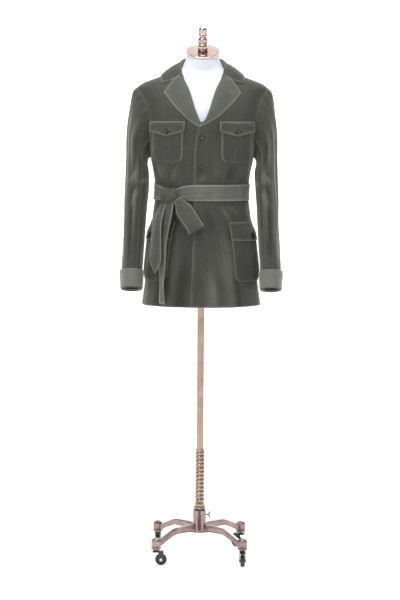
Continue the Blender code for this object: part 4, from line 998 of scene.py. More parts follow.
def sleeve_point(turn, along):
    turn, along = np.broadcast_arrays(turn, along)
    angle, height = armhole(turn)
    normal = ring_normal(angle, height)
    seat = ring(angle, height) + normal * (0.6 * WALL)
    middle = np.array((0.19, 0.5 * (ARMHOLE_BACK - ARMHOLE_FRONT), 0.5 * (SHOULDER + ARMHOLE_LOW)))
    inward = middle - seat
    inward = unit(inward - normal * np.sum(inward * normal, -1, keepdims=True))
    seat = seat + inward * ARMHOLE_GAP
    hold = 1 - ease(along / HEAD_SHARE)
    return sleeve_ring(turn, along) + (seat - sleeve_ring(turn, 0 * along)) * hold[..., None]


def sleeve_outward(turn, along, step=0.004):
    late = np.clip(along, step, 1 - step)
    round_it = sleeve_point(turn + step, late) - sleeve_point(turn - step, late)
    down_it = sleeve_point(turn, late + step) - sleeve_point(turn, late - step)
    return unit(np.cross(round_it, down_it))


def sleeve_creases(turn, along, side):
    """Creases of a sleeve, with small puckers at its head."""
    total = np.zeros(turn.shape)
    rows = SLEEVE_CREASES
    for i in range(len(rows["top"])):
        top, foot = rows["top"][i], rows["foot"][i]
        down = (along - top) / (foot - top)
        line = np.radians(blend(rows["turn_top"][i], rows["turn_foot"][i], np.clip(down, 0, 1)) + 7 * side)
        apart = (np.mod(turn - line + math.pi, 2 * math.pi) - math.pi) * 0.055
        reach = ease(2.5 * down) * ease(2.5 * (1 - down))
        total = total + rows["depth"][i] * reach * np.exp(-((apart / rows["spread"][i]) ** 2))
    near_crown = ease(along / 0.02) * ease((0.10 - along) / 0.08)
    pucker = 0.0009 * np.cos(turn * 22) * near_crown * ease(np.cos(turn) + 0.6)
    return total * ease(along / 0.06) * ease((CUFF_TOP + 0.005 - along) / 0.06) + pucker


def sleeve_piece(name, node, side, start, stop, columns, flat, area):
    gap = 0.0002 / 0.05
    turn = np.linspace(start + gap, stop - gap, columns)[None]
    along = (np.linspace(0, 1, SLEEVE_ROWS) ** 1.15)[:, None]
    turn, along = np.broadcast_arrays(turn, along)
    outward = sleeve_outward(turn, along)
    lift = sleeve_creases(turn, along, side)
    inside = sleeve_point(turn, along) + outward * lift[..., None]
    mirror = np.array((side, 1, 1))
    # Painted highlight on the crease ridges and painted shade in their troughs.
    painted_fold_light = 0.65 * np.clip(lift / 0.0045, -0.8, 1.0)
    made = shell(name, inside * mirror, (inside + WALL * outward) * mirror, painted_fold_light=painted_fold_light, rub_and_painted_light=0.35)
    fit_in(made, "figure", node, CLOTH)


CUFF_FOOT = 0.992
CUFF_FOLD = 0.5 * WALL + 0.0014
CUFF_LEAN = 0.0026


def cuff(name, node, side):
    """A band turned back over the sleeve's end, folded at its foot."""
    turn = np.linspace(0, 2 * math.pi, 96, endpoint=False)[None]
    fold = np.linspace(math.pi, 0, 9)
    foot = CUFF_FOOT + CUFF_FOLD * np.sin(fold) / SLEEVE_LENGTH
    along = np.concatenate((foot, np.linspace(CUFF_FOOT, CUFF_TOP, 14)[1:]))
    rise = ease((CUFF_FOOT - along) / 0.07)
    out = np.concatenate((CUFF_FOLD * np.cos(fold), np.full(13, CUFF_FOLD)))
    middle = out + 0.5 * WALL + rise * CUFF_LEAN
    wave = 0.0012 * np.sin(3 * turn + 0.6) * rise[:, None]
    turn, along, middle = np.broadcast_arrays(turn, along[:, None], middle[:, None])
    ground = sleeve_point(turn, np.minimum(along, 1.02))
    points = ground + sleeve_outward(turn, along) * (middle + wave)[..., None]
    points[..., 2] -= np.clip(along - 1.0, 0, 1) * SLEEVE_LENGTH
    shift = 0.5 * 1.2 * WALL * grid_normals(points, closed=True)
    mirror = np.array((side, 1, 1))
    made = shell(name, (points - shift) * mirror, (points + shift) * mirror, closed=True)
    fit_in(made, "figure", node, CLOTH_CUFF)


# Collar and lapels


def collar_line(line, along):
    there = np.abs(along)
    x, y, z = (read(COLLAR, line + "_" + axis, there, "along") for axis in "xyz")
    return np.stack((np.sign(along) * x, y, z), -1)


def lifted(points, need):
    """Points moved out where they would come too near to the body."""
    x, y, height = points[:, 0], points[:, 1], points[:, 2]
    power = 0.5 * read(BODY, "squareness", height)
    depth = np.where(y < 0, read(BODY, "front", height), read(BODY, "back", height))
    across = signed_power(x / read(BODY, "half_width", height), power)
    angle = np.arctan2(signed_power(-y / depth, power), across)
    normal = ring_normal(angle, height)
    out = np.sum((points - ring(angle, height)) * normal, -1)
    return points + normal * np.maximum(need - out, 0)[:, None]


def collar_points(columns):
    along = np.linspace(-1, 1, columns)
    foot, fold, edge = (collar_line(line, along) for line in ("foot", "fold", "edge"))
    outwards = edge - fold
    outwards[:, 2] = 0
    outwards = unit(outwards)
    down = np.array((0, 0, -1.0))
    radius = COLLAR_FOLD * blend(1.0, 0.92, ease((np.abs(along) - 0.7) / 0.3))[:, None]
    fold_in = fold - radius * (0.9 * outwards - 1.2 * down)
    fold_out = fold + radius * (1.0 * outwards + 1.1 * down)
    rows = [foot, blend(foot, fold_in, 0.5), fold_in, fold, fold_out]
    for share in (0.3, 0.55, 0.8, 1.0):
        swell = 0.003 * math.sin(math.pi * share) * (outwards - down)
        dip = COLLAR_NOTCH * math.sin(math.pi * min(1.0, share * 1.1)) * ease((np.abs(along) - 0.9) / 0.1)
        rows.append(lifted(blend(fold_out, edge, share) + swell + dip[:, None] * down, 1.5 * WALL + 0.0012))
    return finer(np.stack(rows), 60)


def collar():
    made = strip("cloth_collar", collar_points(181))
    fit_in(made, "figure", "collar", CLOTH)


def lapel_places(roll_foot, edge_foot, rows, columns):
    """Places across and up a lapel, from the roll line to its outer edge."""
    climb = np.linspace(0, 1, rows)
    roll_height = blend(roll_foot[1], LAPEL_TOP, climb)
    roll_across = np.maximum(read(ROLL, "across", roll_height), blend(roll_foot[0], 0.0, climb))
    left = np.stack((roll_across, roll_height), -1)
    tip, belly, notch = np.array((LAPEL_TIP, LAPEL_BELLY, LAPEL_NOTCH))
    t = climb[:, None]
    right = (1 - t) ** 2 * np.array(edge_foot) + 2 * t * (1 - t) * belly + t * t * tip
    u = np.linspace(0, 1, columns)[:, None]
    top = np.where(u < 0.5, blend(left[-1], notch, 2 * u), blend(notch, tip, 2 * u - 1))
    laid = patch(blend(left[0], right[0], u), top, left, right)
    bulge = 0.0035 * np.sin(math.pi * u[:, 0] ** 0.6)[None] * ease(climb * 4)[:, None]
    return laid[..., 0], laid[..., 1], bulge


def lapel(name, node, side, roll_foot, edge_foot):
    """The turned-back top of a front, with its roll round the front's edge."""
    across, height, bulge = lapel_places(roll_foot, edge_foot, 70, 46)
    base = WALL + CLOSE
    inside = front_point(side, across, height, base + bulge)
    outside = front_point(side, across, height, base + bulge + WALL)
    turn = np.linspace(math.pi, 0, 10)[:-1]
    line_x, line_z = across[:, :1], height[:, :1]
    normal = front_normal(side, line_x, line_z)
    ahead = front_point(side, line_x + 0.001, line_z, 0.0)
    behind = front_point(side, line_x - 0.001, line_z, 0.0)
    way = unit(ahead - behind)
    small = base - 0.5 * WALL
    middle = front_point(side, line_x, line_z, 0.5 * WALL)
    rolls = []
    for radius in (small, small + WALL):
        sine, cosine = np.sin(turn)[None, :, None], np.cos(turn)[None, :, None]
        arc = middle - way * radius * sine + normal * radius * cosine
        rolls.append(arc)
    inside = np.concatenate((rolls[0], inside), axis=1)
    outside = np.concatenate((rolls[1], outside), axis=1)
    made = shell(name, inside, outside)
    fit_in(made, "figure", node, CLOTH_LAPEL)


# Pockets, flaps and buttons


def pocket_grid(rows, columns, half, foot, top, corner):
    u = np.linspace(-1, 1, columns)[None]
    v = np.linspace(0, 1, rows)[:, None] ** 1.2
    up_it = v * (top - foot)
    cut = corner - np.sqrt(np.clip(corner**2 - np.clip(corner - up_it, 0, corner) ** 2, 0, None))
    return u * (half - cut), foot + up_it + 0 * u, u + 0 * v


def chest_swell(share, height):
    up_it = np.clip((height - CHEST_FOOT) / (CHEST_TOP - CHEST_FOOT), 0, 1)
    rise = CHEST_SWELL * (1 - np.clip(share, -1, 1) ** 4) * (1 - np.abs(2 * up_it - 1) ** 3)
    pleat = CHEST_PLEAT * ease((0.27 - np.abs(share)) / 0.035) * ease(up_it * 9) * ease((1 - up_it) * 8)
    return rise + pleat


def laid_piece(name, node, side, place, across, height, out):
    """A pocket or a flap on a front, put there by one of the place functions."""
    made = shell(name, place(side, across, height, out), place(side, across, height, out + WALL))
    fit_in(made, "figure", node, CLOTH)


def chest_pocket(name, node, side):
    across, height, u = pocket_grid(70, 97, CHEST_HALF, CHEST_FOOT, CHEST_TOP, CHEST_CORNER)
    out = WALL + CLOSE + chest_swell(u, height)
    laid_piece(name, node, side, front_point, CHEST_ACROSS + across, height, out)


FLAP_ROUND = 0.0016


def flap_foot(u, foot, point):
    """The lower edge of a flap, with its point rounded off."""
    return foot - point * (1 - np.sqrt(u * u + FLAP_ROUND))


def flap_grid(rows, columns, half, top, foot, point):
    u = np.linspace(-1, 1, columns)[None]
    v = np.linspace(0, 1, rows)[:, None]
    return u * half + 0 * v, blend(flap_foot(u, foot, point), top, v), u + 0 * v


def chest_flap_out(u, height):
    drop = ease((CHEST_FLAP_TOP - height) / 0.014)
    over = WALL + CLOSE + 0.0012 + chest_swell(np.clip(u, -0.9, 0.9), height)
    curl = 0.0016 * ease((CHEST_FLAP_FOOT + 0.006 - height) / 0.02) * (1 - 0.5 * u * u)
    return WALL + CLOSE + over * drop + curl


def chest_flap(name, node, side):
    across, height, u = flap_grid(40, 91, CHEST_FLAP_HALF, CHEST_FLAP_TOP, CHEST_FLAP_FOOT, CHEST_FLAP_POINT)
    out = chest_flap_out(u, height)
    laid_piece(name, node, side, front_point, CHEST_ACROSS + across, height, out)


def hip_point(side, round_it, height, out):
    speed = np.linalg.norm(ring(HIP_ANGLE + 0.05, height) - ring(HIP_ANGLE - 0.05, height), axis=-1) / 0.1
    return body_point(on_side(HIP_ANGLE - round_it / speed, side), height, out)


def hip_swell(share, height):
    up_it = np.clip((height - HIP_FOOT) / (HIP_TOP - HIP_FOOT), 0, 1)
    sag = 1 - 0.22 * np.sin(math.pi * up_it) * np.cos(2.3 * share + 0.4) ** 2
    return HIP_SWELL * (1 - np.clip(share, -1, 1) ** 6) * (1 - np.abs(2 * up_it - 1) ** 5) * sag


def hip_flap_out(u, height):
    drop = ease((HIP_FLAP_TOP - height) / 0.018)
    over = WALL + CLOSE + 0.0010 + hip_swell(np.clip(u, -0.75, 0.75), height)
    return WALL + CLOSE + over * drop


def hip_pocket(name, node, side):
    round_it, height, u = pocket_grid(80, 90, HIP_HALF, HIP_FOOT, HIP_TOP, HIP_CORNER)
    out = WALL + CLOSE + hip_swell(u, height)
    laid_piece(name, node, side, hip_point, round_it, height, out)


def hip_flap(name, node, side):
    round_it, height, u = flap_grid(40, 100, HIP_FLAP_HALF, HIP_FLAP_TOP, HIP_FLAP_FOOT, HIP_FLAP_POINT)
    laid_piece(name, node, side, hip_point, round_it, height, hip_flap_out(u, height))


def button(name, node, foot, outwards):
    """A horn disc with its middle at the foot, a raised rim and a dished face, and the button's thread."""
    made = rod(name, (0, 0, 0), BUTTON_THICK, BUTTON_RADIUS, Matrix.Identity(4), 40)
    choose_faces(made, lambda face: face.normal.z > 0.9)
    bpy.ops.object.mode_set(mode="EDIT")
    bpy.ops.mesh.inset(thickness=0.0009)
    bpy.ops.mesh.inset(thickness=0.0012)
    bpy.ops.transform.translate(value=(0, 0, -0.0010))
    bpy.ops.mesh.inset(thickness=0.0026)
    bpy.ops.mesh.inset(thickness=0.0024)
    bpy.ops.mesh.select_mode(type="EDGE")
    bpy.ops.object.mode_set(mode="OBJECT")
    mesh = made.data
    for edge in mesh.edges:
        a, b = (mesh.vertices[k].co for k in edge.vertices)
        rim = min(math.hypot(a.x, a.y), math.hypot(b.x, b.y)) > BUTTON_RADIUS - 0.0011
        edge.select = rim and abs(a.z - b.z) < 0.0001
    bpy.ops.object.mode_set(mode="EDIT")
    bpy.ops.mesh.bevel(offset=0.0004, segments=3, affect="EDGES")
    bpy.ops.mesh.select_all(action="DESELECT")
    bpy.ops.object.mode_set(mode="OBJECT")
    bpy.ops.object.shade_smooth_by_angle(angle=math.radians(40))
    turn = Vector(outwards).to_track_quat("Z", "Y").to_matrix().to_4x4()
    mesh.transform(Matrix.Translation(Vector(foot)) @ turn)
    fit_in(made, "figure", node, HORN)
    threads(name + "_thread", foot, outwards)


THREAD_REACH = 0.0017


def threads(name, foot, outwards):
    """Two crossing rows of stitches in front of a button's middle. No holes are cut under them."""
    turn = np.array(Vector(outwards).to_track_quat("Z", "Y").to_matrix())
    middles, ways = [], []
    for x, y in ((THREAD_REACH, THREAD_REACH), (THREAD_REACH, -THREAD_REACH)):
        for share in np.linspace(-0.8, 0.8, 5):
            middles.append((x * share, y * share, BUTTON_THICK - 0.0007))
            ways.append((x, y, 0))
    middles = np.array(middles) @ turn.T + np.array(foot)
    ways = unit(np.array(ways)) @ turn.T
    stitches(name, [(middles, ways, np.broadcast_to(np.array(outwards), middles.shape))], 0.0010, 0.00045)


def stitches(name, lines, half_long=0.00125, half_wide=0.00030):
    """Short stitches, each a small pointed bead, along lines of middles, ways and normals."""
    points, faces = [], []
    count = 0
    shape = np.array((
        (-1, 0, 0.1), (-0.5, 1, 0.1), (-0.5, 0, 1.0), (-0.5, -1, 0.1),
        (0.5, 1, 0.1), (0.5, 0, 1.0), (0.5, -1, 0.1), (1, 0, 0.1),
    ))
    quads = np.array((
        (1, 4, 5, 2), (2, 5, 6, 3), (3, 6, 4, 1), (0, 1, 2, 2), (0, 2, 3, 3), (0, 3, 1, 1),
        (7, 5, 4, 4), (7, 6, 5, 5), (7, 4, 6, 6),
    ))
    for middles, ways, normals in lines:
        sides = np.cross(normals, ways)
        scale = shape * np.array((half_long, half_wide, half_wide * 1.1))
        made = (
            middles[:, None] + scale[None, :, :1] * ways[:, None]
            + scale[None, :, 1:2] * sides[:, None] + scale[None, :, 2:] * normals[:, None]
        )
        points.append(made.reshape(-1, 3))
        faces.append((quads[None] + (count + 8 * np.arange(len(middles)))[:, None, None]).reshape(-1, 4))
        count += 8 * len(middles)
    points = np.concatenate(points)
    faces = np.concatenate(faces)
    mesh = bpy.data.meshes.new(name)
    trimmed = [tuple(dict.fromkeys(face)) for face in faces.tolist()]
    mesh.from_pydata(points.tolist(), [], trimmed)
    mesh.shade_smooth()
    made = bpy.data.objects.new(name, mesh)
    bpy.context.scene.collection.objects.link(made)
    fit_in(made, "figure", None, THREAD)
    return made


def spaced(points, pitch=0.0034):
    """Evenly spaced middles and ways along a line of points."""
    length = np.concatenate(((0,), np.cumsum(np.linalg.norm(np.diff(points, axis=0), axis=-1))))
    at = np.arange(0.5 * pitch, length[-1], pitch)
    middles = np.stack([np.interp(at, length, points[:, k]) for k in range(3)], -1)
    after = np.stack([np.interp(at + 0.001, length, points[:, k]) for k in range(3)], -1)
    before = np.stack([np.interp(at - 0.001, length, points[:, k]) for k in range(3)], -1)
    return middles, unit(after - before), at / length[-1]


def stitch_line(points, normals):
    middles, ways, share = spaced(points)
    keys = np.linspace(0, 1, len(points))
    turned = unit(np.stack([np.interp(share, keys, normals[:, k]) for k in range(3)], -1))
    return middles, ways, turned


def line_on_front(side, across, height, out):
    return stitch_line(front_point(side, across, height, out), front_normal(side, across, height))


def line_on_hip(side, round_it, height, out):
    normal = ring_normal(on_side(HIP_ANGLE - round_it / 0.16, side), height)
    return stitch_line(hip_point(side, round_it, height, out), normal)


def button_on(name, node, ground, side, across, height):
    reach = BUTTON_RADIUS
    level = np.array((across, across, across, across - reach, across + reach))
    rise = np.array((height, height - reach, height + reach, height, height))
    middle, low, high, near, far = ground(side, level, rise)
    outwards = unit(np.cross(far - near, high - low)) * side
    lift = max(0.0, *((spot - middle) @ outwards for spot in (low, high, near, far)))
    button(name, node, middle + outwards * (lift + 0.0002), outwards)


def front_ground(side, across, height):
    return front_point(side, across, height, WALL)


def chest_ground(side, across, height):
    out = chest_flap_out((across - CHEST_ACROSS) / CHEST_FLAP_HALF, height) + WALL
    return front_point(side, across, height, out)


def hip_ground(side, round_it, height):
    return hip_point(side, round_it, height, hip_flap_out(round_it / HIP_FLAP_HALF, height) + WALL)


# Belt


def belt_stand_off(angle):
    across = read(BODY, "half_width", BELT_HEIGHT) * np.cos(angle)
    lapped = ease((0.095 - np.abs(across)) / 0.050) * (np.sin(angle) > 0)
    return WALL + 0.0013 + LAP_OUT * lapped


def belt_span(angle):
    near = np.exp(-(((angle - KNOT_ANGLE) / 0.30) ** 2))
    return blend(BELT_HEIGHT, KNOT_HEIGHT, near), blend(BELT_HALF, 0.015, near), near


def belt_place(angle, share, extra):
    middle, half, near = belt_span(angle)
    drag = np.exp(-(((angle - KNOT_ANGLE) / 0.85) ** 2)) * (1 - near)
    pleat = near * 0.0022 * np.cos(share * 9.0) + 0.0007 * np.sin(5 * angle + 2 * share) * (1 - near)
    pleat = pleat + drag * 0.0017 * (1 + np.cos(share * 9.0 + 2.5 * (angle - KNOT_ANGLE)))
    curl = 0.0006 * share**2 * np.sin(3 * angle)
    return body_point(angle, middle + share * half, belt_stand_off(angle) + 0.0006 + pleat + curl + extra)


def belt_band():
    angle = np.linspace(0, 2 * math.pi, 400, endpoint=False)[None]
    share = np.linspace(-1, 1, 22)[:, None]
    angle, share = np.broadcast_arrays(angle, share)
    inside = belt_place(angle, share, 0.0)
    outside = belt_place(angle, share, WALL)
    made = shell("cloth_belt_band", inside, outside, closed=True)
    fit_in(made, "figure", "belt_band", CLOTH_PAINTED_SHEEN)


def knot_frame():
    height = np.array(KNOT_HEIGHT)
    angle = np.array(KNOT_ANGLE)
    outwards = ring_normal(angle, height)
    middle = ring(angle, height) + outwards * (belt_stand_off(KNOT_ANGLE) + WALL + KNOT_HALF[2] - 0.0004)
    across = unit(np.cross(np.array((0, 0, 1.0)), outwards)) * -1
    return middle, across, np.cross(outwards, across), outwards


def belt_knot():
    """The wrap: a strip wound once over the crossing, drawn in at both sides, with pleats across it."""
    middle, across, up_it, outwards = knot_frame()
    turn = np.linspace(0, 2 * math.pi, 120, endpoint=False)[None]
    share = np.linspace(-1, 1, 60)[:, None]
    dome = np.sqrt(1 - (0.99 * share) ** 2)
    pinch = 1 - 0.16 * np.exp(-((share / 0.35) ** 2))
    wave = np.cos(share * 8.5 + turn)
    pleat = 0.95 + 0.12 * wave * dome
    skew = 0.20 * np.sin(turn)
    x = KNOT_HALF[0] * (0.97 * share + 0.25 * skew * dome)
    y = KNOT_HALF[1] * np.sin(turn) * dome * pinch * pleat
    z = KNOT_HALF[2] * np.cos(turn) * dome * pinch * pleat
    x, y, z = np.broadcast_arrays(x, y, z)
    points = middle + x[..., None] * across + y[..., None] * up_it + z[..., None] * outwards
    shift = 0.5 * WALL * grid_normals(points, closed=True)
    # Painted highlight on the pleats' crests.
    painted_fold_light = 0.6 * np.clip(wave, 0, 1) ** 2
    made = shell("cloth_belt_knot", points - 2 * shift, points, closed=True, painted_fold_light=painted_fold_light)
    fit_in(made, "figure", "belt_knot", CLOTH_TAIL)


def belt_loop():
    """The half bow: a strip from the knot to a fold, and back behind itself."""
    start, end = np.array(LOOP_START), np.array(LOOP_END)
    way = unit(end - start)
    cross = np.array((way[1], -way[0])) * -1
    steps = np.linspace(0, math.pi, 7)
    run = np.concatenate((np.linspace(0.0, 0.86, 6), 0.90 + 0.10 * np.sin(steps), np.linspace(0.86, 0.24, 5)))
    out = np.concatenate((
        blend(0.0165, 0.0240, ease(np.linspace(0, 2, 6))),
        0.0175 + 0.0065 * np.cos(steps),
        np.linspace(0.0110, 0.0105, 5),
    ))
    shift = np.concatenate((np.zeros(6), np.linspace(0, -0.004, 7), np.linspace(-0.005, -0.010, 5)))
    line = finer(np.stack((run, out, shift), -1), 110)
    run, out, shift = line[:, 0], line[:, 1], line[:, 2]
    half = LOOP_HALF * blend(0.50, 1.0, ease(run / 0.40))
    share = np.linspace(-1, 1, 26)
    middle = start + run[:, None] * (end - start)
    flat = middle[:, None] + (share[None] * half[:, None] + shift[:, None])[..., None] * cross
    wave = 0.0018 * np.cos(share[None] * 4.5) * ease((0.5 - run) / 0.5)[:, None] - 0.0012 * share[None] ** 2
    points = front_point(-1, -flat[..., 0], flat[..., 1], out[:, None] + wave)
    made = strip("cloth_belt_loop", points[:, ::-1])
    fit_in(made, "figure", "belt_loop", CLOTH_TAIL)


def tail_points(sections, rows, bend):
    height = np.linspace(sections["height"][0], sections["height"][-1], rows)
    across, forward, turn, half = (read(sections, c, height) for c in ("across", "forward", "turn", "half"))
    middle = np.stack((across, -forward, height), -1)
    turn = np.radians(turn)
    lean = np.stack((np.cos(turn), np.sin(turn), 0 * turn), -1)
    flank = np.stack((-np.sin(turn), np.cos(turn), 0 * turn), -1)
    share = np.linspace(-1, 1, 26)
    ripple = 0.0016 * np.sin(height * 46.0)[:, None] * share[None]
    fold = bend * (np.abs(share)[None] - 0.5) * ease((height[-1] - height) / 0.05)[:, None] + ripple
    spread = share[None, :, None] * (half[:, None] * lean)[:, None]
    return middle[:, None] + spread + fold[..., None] * flank[:, None]


def belt_tail(name, node, sections, bend):
    made = strip(name, tail_points(sections, 150, bend))
    fit_in(made, "figure", node, CLOTH_TAIL)


# Stitching


FRONT_INSET = 0.006
POCKET_INSET = 0.0045


def stitch_fronts():
    height = np.linspace(HEM + 0.004, BREAK - 0.004, 300)
    across = -read(EDGE, "lap", height) + FRONT_INSET
    stitches("stitching_front", [line_on_front(1, across, height, WALL + front_curl(across, height))])


def stitch_lapel(name, side, roll_foot, edge_foot):
    across, height, bulge = lapel_places(roll_foot, edge_foot, 90, 60)
    out = WALL + CLOSE + bulge + WALL
    side_column = 57
    top_row = 86
    edge = (slice(4, 87), side_column)
    lines = [line_on_front(side, across[edge], height[edge], out[edge])]
    lines.append(line_on_front(side, across[top_row, 30:58], height[top_row, 30:58], out[top_row, 30:58]))
    stitches(name, lines)


def buttonhole():
    """A worked buttonhole on the left lapel, in close stitches across its slit."""
    across, height, bulge = lapel_places(*LAPEL_LEFT, 90, 60)
    out = 2 * WALL + CLOSE + bulge
    far = np.hypot(across - BUTTONHOLE[0], height - BUTTONHOLE[1])
    row, column = np.unravel_index(np.argmin(far), far.shape)
    run = slice(column - 6, column + 7)
    points = front_point(1, across[row, run], height[row, run], out[row, run])
    middles, ways, _ = spaced(points, 0.0007)
    normals = np.broadcast_to(front_normal(1, *map(np.array, BUTTONHOLE)), middles.shape)
    stitches("stitching_buttonhole", [(middles, np.cross(normals, ways), normals)], 0.0013, 0.00034)


def stitch_collar():
    points = collar_points(181)
    normals = grid_normals(points)
    outer = points + normals * 0.5 * WALL
    if normals[50, 90, 1] < 0:
        outer = points - normals * 0.5 * WALL
        normals = -normals
    stitches("stitching_collar", [stitch_line(outer[56, 4:177], normals[56, 4:177])])


def stitch_chest(name, side):
    """Round the pocket's sides and foot, then along the edges of its flap."""
    half, foot = CHEST_HALF - POCKET_INSET, CHEST_FOOT + POCKET_INSET
    corner = CHEST_CORNER - POCKET_INSET
    arc = np.linspace(0, 0.5 * math.pi, 12)
    left, right = -half + corner - corner * np.cos(arc), half - corner + corner * np.sin(arc)
    down, up = foot + corner - corner * np.sin(arc), foot + corner - corner * np.cos(arc)
    x = np.concatenate(((-half,), left, right, (half,)))
    z = np.concatenate(((CHEST_TOP,), down, up, (CHEST_TOP,)))
    keys = np.concatenate(((0,), np.cumsum(np.hypot(np.diff(x), np.diff(z)))))
    at = np.linspace(0, keys[-1], 260)
    x, z = np.interp(at, keys, x), np.interp(at, keys, z)
    out = WALL + CLOSE + chest_swell(x / CHEST_HALF, z) + WALL
    lines = [line_on_front(side, CHEST_ACROSS + x, z, out)]
    u = np.linspace(-0.96, 0.96, 140)
    x = CHEST_FLAP_HALF * u * 0.955
    low = flap_foot(u, CHEST_FLAP_FOOT, CHEST_FLAP_POINT) + 0.005
    for height in (low, np.full(140, CHEST_FLAP_TOP - 0.004)):
        lines.append(line_on_front(side, CHEST_ACROSS + x, height, chest_flap_out(u, height) + WALL))
    for edge in (-1, 1):
        height = np.linspace(CHEST_FLAP_FOOT + 0.005, CHEST_FLAP_TOP - 0.004, 40)
        u = np.full(40, 0.92 * edge)
        out = chest_flap_out(u, height) + WALL
        lines.append(line_on_front(side, CHEST_ACROSS + CHEST_FLAP_HALF * u, height, out))
    stitches(name, lines)


def stitch_hip(name, side):
    lines = []
    u = np.linspace(-0.95, 0.95, 200)
    low = HIP_FLAP_FOOT - HIP_FLAP_POINT * (1 - np.abs(u)) + 0.006
    for height in (low, np.full(200, HIP_FLAP_TOP - 0.005)):
        lines.append(line_on_hip(side, HIP_FLAP_HALF * u, height, hip_flap_out(u, height) + WALL))
    for edge in (-1, 1):
        height = np.linspace(HIP_FLAP_FOOT + 0.004, HIP_FLAP_TOP - 0.005, 60)
        u = np.full(60, 0.94 * edge)
        lines.append(line_on_hip(side, HIP_FLAP_HALF * u, height, hip_flap_out(u, height) + WALL))
    stitches(name, lines)


def stitch_belt():
    lines = []
    angle = np.linspace(0, 2 * math.pi, 1200)
    keep = np.abs(angle - KNOT_ANGLE) > 0.22
    for share in (-0.80, 0.80):
        points = belt_place(angle, np.full(1200, share), WALL)
        normals = ring_normal(angle, np.full(1200, BELT_HEIGHT))
        for part in (angle < KNOT_ANGLE, angle > KNOT_ANGLE):
            chosen = keep & part
            lines.append(stitch_line(points[chosen], normals[chosen]))
    for sections, bend in ((LONG_TAIL, 0.004), (SHORT_TAIL, 0.005)):
        points = tail_points(sections, 150, bend)
        normals = grid_normals(points)
        facing = -np.sign(normals[70, 13, 1])
        for column in (3, 22):
            rows = slice(14, 136)
            outer = points[rows, column] + facing * normals[rows, column] * 0.5 * WALL
            lines.append(stitch_line(outer, facing * normals[rows, column]))
    stitches("stitching_belt", lines)


# Dress form and its top


def form_ring(angle, height):
    squareness = read(BODY, "squareness", height)
    across = signed_power(np.cos(angle), 2 / squareness)
    forward = signed_power(np.sin(angle), 2 / squareness)
    wide = read(BODY, "half_width", height) - read(FORM_EASE, "side", height)
    ahead = read(BODY, "front", height) - read(FORM_EASE, "front", height)
    behind = read(BODY, "back", height) - read(FORM_EASE, "back", height)
    y = -forward * np.where(forward > 0, ahead, behind)
    return np.stack((across * wide, y, height + 0 * y), -1)


def neck_ring(angle, height, tilt, radius=NECK_RADIUS):
    x, y = radius * np.cos(angle), -radius * np.sin(angle)
    return np.stack((x, y, height + math.tan(tilt) * y), -1)


def ring_loft(name, rings):
    """Rings joined in turn, with the first and the last one filled."""
    rows, columns = rings.shape[:2]
    r, c = np.meshgrid(np.arange(rows - 1), np.arange(columns), indexing="ij")
    d = (c + 1) % columns
    faces = np.stack((r * columns + c, r * columns + d, (r + 1) * columns + d, (r + 1) * columns + c), -1)
    mesh = bpy.data.meshes.new(name)
    caps = [list(range(columns))[::-1], list(range((rows - 1) * columns, rows * columns))]
    mesh.from_pydata(rings.reshape(-1, 3).tolist(), [], faces.reshape(-1, 4).tolist() + caps)
    made = bpy.data.objects.new(name, mesh)
    bpy.context.scene.collection.objects.link(made)
    take(made)
    bpy.ops.object.mode_set(mode="EDIT")
    bpy.ops.mesh.select_all(action="SELECT")
    bpy.ops.mesh.normals_make_consistent(inside=False)
    bpy.ops.object.mode_set(mode="OBJECT")
    bpy.ops.object.shade_smooth_by_angle(angle=math.radians(38))
    return made


def dress_form():
    angle = np.linspace(0, 2 * math.pi, 96, endpoint=False)
    heights = np.concatenate((np.linspace(FORM_FOOT, 1.50, 60), np.linspace(1.505, 1.611, 24)))
    torso = form_ring(angle[None], heights[:, None])
    shares = (0.35, 0.55, 0.75, 0.9, 1.0)
    joint = np.stack([neck_ring(angle, NECK_TOP - 0.03 * (1 - s), CAP_TILT * s) for s in shares])
    made = ring_loft("white_form", np.concatenate((torso, joint)))
    fit_in(made, "figure", "form", COVER)


def neck_cap():
    """A thick plate, cut from a round bar by two slanted planes."""
    low = NECK_TOP + 0.0004
    made = rod("copper_cap", (0, 0, low), 0.14, NECK_RADIUS + 0.0012, Matrix.Identity(4), 96)
    sliced(made, (0, 0, low), CAP_SLOPE, True)
    sliced(made, (0, 0, low + CAP_THICK), CAP_SLOPE, False)
    finish_edges(made, 0.0012, 4)
    fit_in(made, "figure", "neck_cap", COPPER)


def sliced(made, spot, normal, above):
    """Cut a shape by a plane, and keep what is above or below it."""
    take(made)
    bpy.ops.object.mode_set(mode="EDIT")
    bpy.ops.mesh.select_all(action="SELECT")
    bpy.ops.mesh.bisect(
        plane_co=spot, plane_no=normal, use_fill=True, clear_inner=above, clear_outer=not above
    )
    bpy.ops.mesh.select_all(action="SELECT")
    bpy.ops.mesh.normals_make_consistent(inside=False)
    bpy.ops.object.mode_set(mode="OBJECT")


def drawn(name, profile):
    """A line of radius and height, drawn point by point."""
    deselect()
    bpy.ops.mesh.primitive_plane_add(size=0.01, location=(0, 0, 0))
    made = bpy.context.active_object
    made.name = name
    bpy.ops.object.mode_set(mode="EDIT")
    bpy.ops.mesh.select_mode(type="VERT")
    bpy.ops.mesh.select_all(action="SELECT")
    bpy.ops.mesh.merge(type="CENTER")
    here = Vector((0, 0, 0))
    for count, (radius, height) in enumerate(profile):
        there = Vector((radius, 0, height))
        if count == 0:
            bpy.ops.transform.translate(value=there)
        else:
            bpy.ops.mesh.extrude_region_move(TRANSFORM_OT_translate={"value": there - here})
        here = there
    return made


